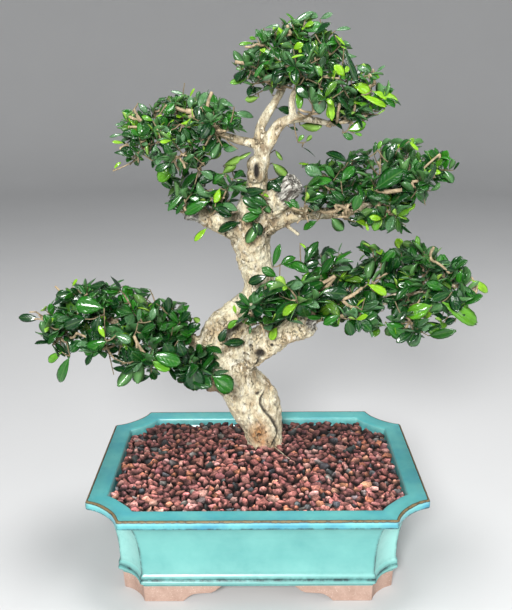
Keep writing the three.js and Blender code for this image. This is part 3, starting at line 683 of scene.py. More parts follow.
# Where limbs were lost: the middle of each dead end, how far it reaches, which way it faces, and how far back
# from its face the wood is dead
DEAD_ENDS = [
    ((35, 11, 367), 30, (0.6, -0.55, 0.6), 19), ((50, 10, 238), 13, (0.85, -0.4, 0.35), 5),
    ((-66, 26, 336), 19, (-0.95, -0.2, -0.1), 15), ((-51, 32, 165), 9, (-1, -0.3, -0.2), 5),
]
# Creases on the front of the wood, painted dark as painted shade in them, as x and z along each, then its
# width and depth, and hollows there, painted dark in the same way, as the x and z of each one's middle, its
# radius and its depth
CREASES = [
    ([(7, 157), (4, 153), (3.5, 147), (6, 141), (9, 137)], 1.5, 3.0),
    ([(9, 137), (13, 131), (17, 124), (20, 117), (21, 111), (19, 106), (15, 100)], 1.4, 2.8),
    ([(2.9, 203), (1.5, 196), (-0.5, 188.5)], 1.3, 2.4),
    ([(-27.8, 221.8), (-20, 226.8), (-11.3, 231.8), (-0.7, 235.8), (10.8, 239.8)], 4.8, 8),
    ([(-46, 186), (-47, 180), (-44, 175)], 1.2, 2.0),
    ([(-17, 110), (-13, 104), (-9, 99)], 0.8, 1.4),
]
HOLLOWS = [((2.9, 203.2), 5.4, 4.6), ((-13, 230), 4.6, 4.0), ((-45, 183), 3.4, 2.4), ((1, 159), 2.3, 2.4),
           ((14, 214), 2.0, 1.6), ((-6, 212), 1.8, 1.4)]
# The slot in the middle of the pruning scar, painted dark as painted shade in it, as its x and z, half its
# width and height, and its depth
SCAR = (0.8, 377), (2.2, 6), 3.2
# The callus round the scar stands out as a tall ring, made of two round ones at these heights
CALLUS = [(0, 28, 8.6), (0.2, 23, 8.2), (0.4, 19.6, 7), (0.6, 18.4, 5.2)]
CALLUS_HEIGHTS = (373, 381.5)
# Bends that are painted dark, as painted shade in them, and places where the bark is rusty brown: the middle
# of each, how far it reaches each way, how many times that far it has faded away, and its strength
SHADED_BENDS = [((-8, 24, 178), (15, 14, 7), 1.5, 1), ((-7, 18, 203), (14, 14, 9), 1.4, 0.8)]
RUSTY_PLACES = [((1, 26, 111), (10, 14, 13), 1.6, 1), ((-50, 32, 165), 10, 1.5, 0.8)]


def smooth_line(line, steps):
    """A smooth line through points of any number of values, with this many steps between each two."""
    line = np.array(line, float)
    padded = np.vstack([2 * line[0] - line[1], line, 2 * line[-1] - line[-2]])
    shares = np.linspace(0, 1, steps, endpoint=False)[:, None]
    made = []
    for a, b, c, d in zip(padded, padded[1:], padded[2:], padded[3:]):
        made.append(0.5 * (2 * b + (c - a) * shares + (2 * a - 5 * b + 4 * c - d) * shares ** 2
                           + (3 * b - a - 3 * c + d) * shares ** 3))
    return np.vstack(made + [line[-1:]])


def directions(line):
    """The direction along a line at each of its points, and two directions across it that turn little."""
    along = np.gradient(line, axis=0)
    along /= np.linalg.norm(along, axis=1)[:, None]
    across = np.empty_like(along)
    last = np.array([0.0, 1.0, 0.0])
    for i, ahead in enumerate(along):
        last = last - ahead * (last @ ahead)
        last = last / np.linalg.norm(last)
        across[i] = last
    return along, across, np.cross(along, across)


def rod(line, sides, swell=0.0):
    """The corners and faces of a closed rod along points of x, y, z and radius."""
    line = np.asarray(line, float)
    _, across, aside = directions(line[:, :3])
    angles = np.arange(sides) * 2 * math.pi / sides
    rows = np.arange(len(line))[:, None] / 4
    bark = 1 + swell * (np.sin(3 * angles + 1.7 * rows) + 0.7 * np.sin(2 * angles - 2.3 * rows + 1))
    reach = line[:, 3, None] * bark
    corners = (line[:, None, :3] + reach[..., None] * (across[:, None] * np.cos(angles)[None, :, None]
                                                       + aside[:, None] * np.sin(angles)[None, :, None]))
    return corners.reshape(-1, 3), closed_bands(len(line), sides)


def add_form(corners, faces, form):
    """Adds a form's own corners and faces to those of a piece."""
    made, made_faces = form
    faces += [tuple(i + len(corners) for i in face) for face in made_faces]
    corners += made.tolist()


def bark_finish():
    """Pale corky bark with flakes, lichen, pits and cracks, browner young bark, and silver streaks on the
    dead wood.
    Raised flakes are painted pale as painted highlight; low flakes, pits, cracks, hollows, bends and crotches
    are painted dark as painted shade.
    """
    bark = new_finish("pale_bark", Roughness=0.9)
    dark, dead, rusty, shade_and_young_bark = painted(bark, "wood")
    along = node(bark, "VectorMath", {0: place(bark), 1: (1, 1, 0.6)}, operation="MULTIPLY").outputs[0]
    clouds = grain(bark, 55, 4, 0.6, along)
    flakes = grain(bark, 190, 6, 0.75, along)
    fine = grain(bark, 560, 4, 0.7, along)
    pits = calc(bark, "MULTIPLY", span(bark, grain(bark, 300, 3, 0.55, along), 0.36, 0.30, 0.0, 0.95),
                span(bark, grain(bark, 45, 2), 0.42, 0.54))
    from_crack = calc(bark, "ABSOLUTE", calc(bark, "SUBTRACT", grain(bark, 95, 5, 0.65, along), 0.5))
    cracks = calc(bark, "MULTIPLY", span(bark, from_crack, 0.0, 0.018, 1.0, 0.0),
                  span(bark, clouds, 0.42, 0.55, 0.8, 0.0))
    # Dead wood splits along its grain, so its streaks are drawn out that way
    depth = node(bark, "VectorMath", {0: place(bark), 1: DEAD_GRAIN}, operation="DOT_PRODUCT")
    drawn = node(bark, "VectorMath",
                 {0: DEAD_GRAIN, "Scale": calc(bark, "MULTIPLY", depth.outputs["Value"], 0.85)},
                 operation="SCALE").outputs[0]
    streaks = node(bark, "VectorMath", {0: place(bark), 1: drawn}, operation="SUBTRACT").outputs[0]
    silver = mix(bark, span(bark, grain(bark, 330, 5, 0.7, streaks), 0.42, 0.58),
                 (0.09, 0.075, 0.06), (0.80, 0.77, 0.68))
    colour = layers(
        bark, mix(bark, span(bark, clouds, 0.35, 0.62), (0.66, 0.53, 0.32), (0.90, 0.83, 0.60)),
        (span(bark, grain(bark, 27, 5, 0.65, along), 0.48, 0.36, 0.0, 0.75), (0.50, 0.36, 0.21)),
        # The low flakes are painted brown, as painted shade, and the raised ones pale, as painted highlight
        (span(bark, flakes, 0.45, 0.35, 0.0, 0.8), (0.38, 0.27, 0.15)),
        (span(bark, flakes, 0.53, 0.62, 0.0, 0.85), (0.95, 0.90, 0.76)),
        (span(bark, fine, 0.46, 0.34, 0.0, 0.65), (0.27, 0.19, 0.10)),
        (span(bark, grain(bark, 85, 4, 0.6), 0.56, 0.66, 0.0, 0.4), (0.68, 0.68, 0.56)),
        (calc(bark, "MULTIPLY", rusty, span(bark, flakes, 0.3, 0.6)), (0.55, 0.25, 0.08)),
        # Painted shade in bends and crotches, and the browner bark of thin limbs
        (calc(bark, "MULTIPLY", shade_and_young_bark, span(bark, flakes, 0.42, 0.58, 0.75, 0.1)), (0.20, 0.14, 0.08)),
        (dead, silver),
        # The pits and cracks of the relief, and the recesses that the wood's painting marks, are painted dark
        # as painted shade
        (calc(bark, "MAXIMUM", pits, cracks), (0.07, 0.05, 0.03)),
        (dark, (0.02, 0.016, 0.012)),
    )
    relief = calc(bark, "SUBTRACT", calc(bark, "ADD", flakes, calc(bark, "MULTIPLY", fine, 0.5)),
                  calc(bark, "ADD", pits, cracks))
    finish_with(bark, colour, None, relief, 0.0022, 1.0)
    return bark


def away_from_line(points, line):
    """How far each point is from a line of points, in the same two or three dimensions."""
    line = np.asarray(line, float)
    nearest = np.full(len(points), np.inf)
    for a, b in zip(line, line[1:]):
        share = np.clip(((points - a) @ (b - a)) / ((b - a) @ (b - a)), 0, 1)
        nearest = np.minimum(nearest, np.linalg.norm(points - a - share[:, None] * (b - a), axis=1))
    return nearest


def along_limb(points, line):
    """For each span of a limb: how far the points are from its middle, and how thick it is there."""
    line = np.array(line, float)
    for a, b in zip(line, line[1:]):
        ahead = (b - a)[:3]
        share = np.clip(((points - a[:3]) @ ahead) / (ahead @ ahead), 0, 1)
        yield np.linalg.norm(points - a[:3] - share[:, None] * ahead, axis=1), a[3] + share * (b[3] - a[3])


def strongest(points, places):
    """How strong the strongest of these places of the wood is at each point."""
    return np.max([strength * np.clip(core - np.linalg.norm((points - middle) / reach, axis=1), 0, 1)
                   for middle, reach, core, strength in places], axis=0)


def wood_girth(points):
    """How thick the wood is at each point, and how far a point is from the second nearest limb's skin."""
    thick = np.zeros(len(points))
    nearness = []
    for line in (TRUNK, *LIMBS.values()):
        nearness.append(np.full(len(points), np.inf))
        for gap, size in along_limb(points, line):
            thick = np.where(gap < size + 2.5, np.maximum(thick, size), thick)
            nearness[-1] = np.minimum(nearness[-1], np.abs(gap - size))
    return thick, np.partition(np.array(nearness), 1, axis=0)[1]


def wood_relief(points, facing):
    """How far each point of the wood moves out, how dark its recesses are painted as painted shade, how dead
    and rusty it is, and how much painted shade of bends and crotches and browner bark of thin limbs it has.
    """
    count = len(points)
    rise, dark, dead = np.zeros(count), np.zeros(count), np.zeros(count)
    thick, from_second = wood_girth(points)
    # Bends and the places where two limbs meet are painted darker, as painted shade, and thin limbs are
    # younger, with browner bark
    shade_and_young_bark = np.clip(1.3 - from_second / 4.5, 0, 1)
    shade_and_young_bark = np.maximum(shade_and_young_bark, strongest(points, SHADED_BENDS))
    shade_and_young_bark = np.maximum(shade_and_young_bark, 0.8 * np.clip((7 - thick) / 4, 0, 1))
    # Lumps of 14 and 7 mm, flakes and pits of 3 to 4 mm, and long grooves here and there
    for i, point in enumerate(points):
        spot = Vector(point)
        lump = noise.noise(spot / 14) + 0.6 * noise.noise(spot / 7)
        upright = Vector((point[0], point[1], 0.6 * point[2]))
        flake = noise.fractal(upright / 3.6, 0.7, 2.1, 4)
        pit = min(1.0, max(0.0, (-0.24 - noise.noise(upright / 3.1 + Vector((9, 4, 2)))) / 0.2))
        long_way = Vector((point[0] / 7, point[1] / 7, point[2] / 15))
        groove = max(0.0, 0.055 - abs(noise.noise(long_way))) / 0.055
        groove *= max(0.0, noise.noise(spot / 21 + Vector((3, 8, 5))))
        rise[i] = 1.7 * lump + 1.1 * flake - 1.2 * pit - 1.8 * groove
        # The pits and grooves are painted dark, as painted shade in them
        dark[i] = min(1.0, 0.3 * pit + 0.7 * groove)
    # Thin limbs are smoother and less marked than thick ones
    girth = np.clip(thick / 16, 0.12, 1)
    rise *= girth
    dark *= np.clip(girth * 1.6, 0.3, 1)
    ahead = np.minimum(1, 2 * (np.clip(0.35 - facing[:, 1], 0, 1) * (points[:, 1] < 48)))
    flat = points[:, [0, 2]]
    # The creases, the hollows and the scar's slot are painted dark, as painted shade in them
    for line, width, depth in CREASES:
        share = np.clip(1.25 - away_from_line(flat, line) / width, 0, 1) * ahead
        rise -= depth * share
        dark = np.maximum(dark, np.minimum(0.9, 1.4 * share))
    for centre, radius, depth in HOLLOWS:
        share = np.clip(1.2 - np.linalg.norm(flat - centre, axis=1) / radius, 0, 1) * ahead
        rise -= depth * share
        dark = np.maximum(dark, np.minimum(0.95, 1.7 * share))
    centre, half, depth = SCAR
    share = np.clip(1.5 - np.hypot(*((flat - centre) / half).T), 0, 1) * ahead
    rise -= depth * share
    dark = np.maximum(dark, np.clip(1.6 * share, 0, 1))
    for centre, reach, outward, back in DEAD_ENDS:
        outward = np.array(outward) / np.linalg.norm(outward)
        beyond = (points - centre) @ outward
        near = np.linalg.norm(points - centre, axis=1)
        share = np.clip((reach - near) / 5, 0, 1) * np.clip((beyond + back) / 4, 0, 1)
        dead = np.maximum(dead, share)
        for i in np.nonzero(share > 0)[0]:
            spot = Vector(points[i])
            # The splits run along the grain, so they change little that way
            across = spot - Vector(outward) * ((spot - Vector(centre)) @ Vector(outward)) * 0.75
            split = noise.fractal(across / 2.6, 1.0, 2.0, 3)
            rise[i] += share[i] * 1.9 * split
            # The low parts of the splits are painted dark, as painted shade in them
            dark[i] = max(dark[i], share[i] * min(1.0, max(0.0, -1.6 * split)))
    return rise, dark, dead, strongest(points, RUSTY_PLACES), shade_and_young_bark


def make_wood():
    """The trunk and limbs joined into one close skin, with the relief of bark and dead wood on it."""
    corners, faces = [], []
    for name, line in (("trunk", TRUNK), *LIMBS.items()):
        sides = TRUNK_SIDES if name == "trunk" else LIMB_SIDES
        swell = THICK_SWELL if name in ("trunk", "shoulder") else THIN_SWELL
        add_form(corners, faces, rod(smooth_line(line, 4), sides, swell))
    for z in CALLUS_HEIGHTS:
        add_form(corners, faces, rod([(x, y, z, radius) for x, y, radius in CALLUS], LIMB_SIDES))
    wood = new_piece("trunk_and_limbs", corners, faces)
    remesh = wood.modifiers.new("join", "REMESH")
    remesh.mode = "VOXEL"
    remesh.voxel_size = BARK_MESH * MM
    ease = wood.modifiers.new("ease", "SMOOTH")
    ease.factor = 0.5
    ease.iterations = 3
    settle(wood)
    mesh = wood.data
    points = np.empty(len(mesh.vertices) * 3, np.float32)
    facing = np.empty_like(points)
    mesh.vertices.foreach_get("co", points)
    mesh.vertices.foreach_get("normal", facing)
    points = points.reshape(-1, 3).astype(float) / MM
    facing = facing.reshape(-1, 3).astype(float)
    rise, *marks = wood_relief(points, facing)
    points += facing * rise[:, None]
    mesh.vertices.foreach_set("co", (points * MM).ravel())
    mesh.update()
    paint(wood, "wood", np.column_stack(marks))
    for face in mesh.polygons:
        face.use_smooth = True
    mesh.materials.clear()
    mesh.materials.append(bark_finish())
    return wood


wood = make_wood()
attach(wood, "root")
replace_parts(wood, "trunk")

# Foliage
# Each spray is a shoot from a limb with side shoots and small glossy leaves, which are widest past the middle
# and toothed at the tip. The young leaves are lime green, and the undersides are paler. The sprays' stems
# start and end where their solids do.

# Each pad's sprays: the limb that carries each, how far along the limb it starts, and where its stem ends
SPRAYS = {
    "low_left": [
        ("lowLeft", 0.97, -206, 16, 243), ("lowLeft", 0.86, -184, 50, 254), ("lowLeft", 0.86, -182, -16, 230),
        ("lowLeft", 0.76, -166, 14, 268), ("lowLeft", 0.66, -150, 74, 252), ("lowLeft", 0.66, -140, -38, 228),
        ("lowLeft", 0.56, -124, 18, 262), ("lowLeft", 0.46, -106, 78, 244), ("lowLeft", 0.44, -98, -42, 220),
        ("lowLeft", 0.32, -84, 28, 252), ("lowLeft", 0.2, -60, -16, 196)],
    "low_right": [
        ("lowRight", 0.97, 208, 12, 272), ("lowRight", 0.87, 184, 52, 282), ("lowRight", 0.88, 180, -26, 256),
        ("lowRight", 0.76, 154, 14, 297), ("lowRight", 0.66, 146, 72, 286), ("lowRight", 0.68, 134, -46, 252),
        ("lowRight", 0.5, 108, 18, 298), ("lowRight", 0.42, 84, 76, 282), ("lowRight", 0.44, 86, -54, 262),
        ("lowRight", 0.3, 62, 22, 292), ("lowRight", 0.22, 30, -38, 282), ("shoulder", 0.45, -4, -20, 260)],
    "mid_right": [
        ("midRight", 0.97, 164, 18, 382), ("midRight", 0.84, 142, 50, 388), ("midRight", 0.85, 143, -14, 369),
        ("midRight", 0.68, 112, 24, 386), ("midRight", 0.56, 92, 72, 378), ("midRight", 0.68, 117, -28, 346),
        ("midRight", 0.44, 66, 34, 372), ("midRight", 0.48, 80, -36, 350), ("midRight", 0.26, 42, -22, 354)],
    "up_left": [
        ("upLeft", 0.97, -107, 15, 412), ("upLeft", 0.86, -100, -18, 397), ("upLeft", 0.8, -92, 46, 428),
        ("upLeft", 0.6, -70, 10, 434), ("upLeft", 0.5, -54, 58, 434), ("upLeft", 0.56, -66, -34, 394),
        ("upLeft", 0.32, -34, 40, 430), ("upLeft", 0.34, -36, -20, 420)],
    "left_arm": [
        ("leftArm", 0.85, -62, -8, 356), ("leftArm", 0.5, -26, 2, 362), ("riser", 0.35, -66, 50, 358)],
    "crown": [
        ("crownLeft", 0.97, 40, 36, 492), ("crownLeft", 0.82, 12, 26, 481),
        ("crownLeft", 0.62, -2, 10, 462), ("crownMiddle", 0.97, 66, 22, 478),
        ("crownMiddle", 0.7, 85, 2, 457), ("crownRight", 0.96, 104, 14, 436),
        ("crownRight", 0.72, 87, 44, 424), ("crownMiddle", 0.82, 34, -22, 465),
        ("crownBack", 0.96, 58, 75, 474), ("crownBack", 0.6, 10, 66, 458),
        ("crownRight", 0.5, 54, -16, 438)],
}
# How each pad's leaves differ: their lengths, how many shoots and bare twigs a spray has, the share of young
# lime leaves, and how far the pad reaches to the left and right
PAD_HABIT = {
    "low_left": ((10, 25), 9, 4, 0.16, (-198, 0)), "low_right": ((10, 25), 8, 5, 0.3, (-20, 206)),
    "mid_right": ((9, 22), 8, 5, 0.35, (0, 176)), "up_left": ((7, 17), 9, 7, 0.3, (-119, 4)),
    "left_arm": ((10, 20), 7, 3, 0.12, (-90, 0)), "crown": ((8, 20), 10, 6, 0.4, (-20, 124)),
}
# The top of each pad, as x and z along its middle
PAD_TOPS = {
    "low_left": [(-198, 267), (-169, 277), (-140, 276), (-100, 260), (-66, 250), (-51, 236)],
    "low_right": [(17, 293), (60, 308), (118, 313), (150, 317), (177, 302), (199, 285), (221, 267)],
    "mid_right": [(40, 382), (55, 391), (94, 391), (103, 398), (120, 408), (141, 405), (174, 394)],
    "up_left": [(-126, 409), (-117, 431), (-83, 443), (-48, 446), (-22, 438), (0, 420)],
    "left_arm": [(-90, 380), (-20, 380)],
    "crown": [(-20, 470), (-8, 493), (6, 500), (30, 509), (55, 511), (81, 489), (108, 461), (126, 446)],
}
# The lowest leaves along the front of each pad, as x and z
PAD_FLOORS = {
    "low_left": [
        (-199, 240), (-186, 216), (-164, 222), (-135, 222), (-118, 198), (-84, 200), (-64, 193),
        (-22, 188)],
    "low_right": [(-15, 250), (5, 245), (25, 254), (74, 252), (85, 242), (137, 231), (170, 248), (202, 277)],
    "mid_right": [(37, 354), (62, 354), (83, 347), (97, 332), (122, 328), (134, 345), (160, 371)],
    "up_left": [(-117, 394), (-87, 388), (-79, 377), (-66, 377), (-57, 388), (-25, 401), (-8, 404)],
    "left_arm": [(-90, 361), (-72, 357), (-47, 360), (-26, 357), (-9, 361)],
    "crown": [
        (-18, 449), (6, 448), (20, 455), (36, 452), (52, 446), (65, 438), (77, 428), (92, 421), (119, 437)],
}
# The height and distances from which the tops, along the middle, and the floors, along the front, are seen
VIEW_HEIGHT = 468
PAD_MIDDLE, VIEW_TO_MIDDLE = 18, 708
PAD_FRONT, VIEW_TO_FRONT = -35, 655
# Where the wood shows between the leaves: a point on it, and how wide the gap is to each side
BARE_WOOD = [
    ((37, 11, 371), 14), ((1, 20, 377), 12), ((30, 5, 222), 15), ((10, 12, 213), 15), ((50, 2, 233), 12),
    ((3, 20, 200), 12), ((-30, 20, 222), 13), ((0, 25, 290), 13), ((-3, 24, 308), 13), ((45, 28, 336), 9),
    ((65, 26, 337), 9), ((85, 24, 339), 9), ((103, 26, 345), 6), ((24, 20, 355), 13), ((-62, 22, 336), 12),
    ((-44, 28, 334), 9), ((-28, 32, 326), 9), ((-50, 26, 372), 6), ((-12, 28, 402), 9), ((-26, 25, 407), 7),
    ((36, 24, 422), 10), ((52, 20, 421), 9), ((23, 27, 418), 12), ((11, 33, 426), 10), ((18, 34, 437), 9),
    ((33, 23, 436), 7), ((20, 5, 225), 13), ((0, 20, 215), 13),
]
# How far before such a place a leaf still hides it
HIDES_FOR = 110
# Where the photograph was taken from, its lens and the sensor it is for, how it was turned, and its pixels
CAMERA_SPOT = (3.1, -690.5, 468.2)
CAMERA_LENS = 46.45
CAMERA_SENSOR = 36
CAMERA_PITCH, CAMERA_YAW, CAMERA_ROLL = np.radians((-17.0, -0.3, -0.4))
PHOTO_WIDTH, PHOTO_HEIGHT = 512, 610
# A single leaf or twig ends this much further forward than it starts
END_NEARER = 2
# The kinds of single leaf: the way its upper side looks, how fresh its green is, and how young it is or,
# below zero, how grey-green it is painted, partly as a bloom and partly as a painted sheen
LEAF_KINDS = {
    "dark": ((0.2, -1, 0.6), 0.05, 0), "gloss": ((-0.2, -0.8, 0.9), 0.25, 0), "mid": ((0, -1, 0.5), 0.6, 0),
    "fresh": ((0.1, -1, 0.6), 1, 0.3), "lime": ((-0.1, -1, 0.7), 1, 0.95),
    "pale": ((0.1, -1, 0.7), 0.4, -0.75), "olive": ((0, 1, -0.4), 1, 0.55), "under": ((0, 1, -0.3), 0.5, 0),
}
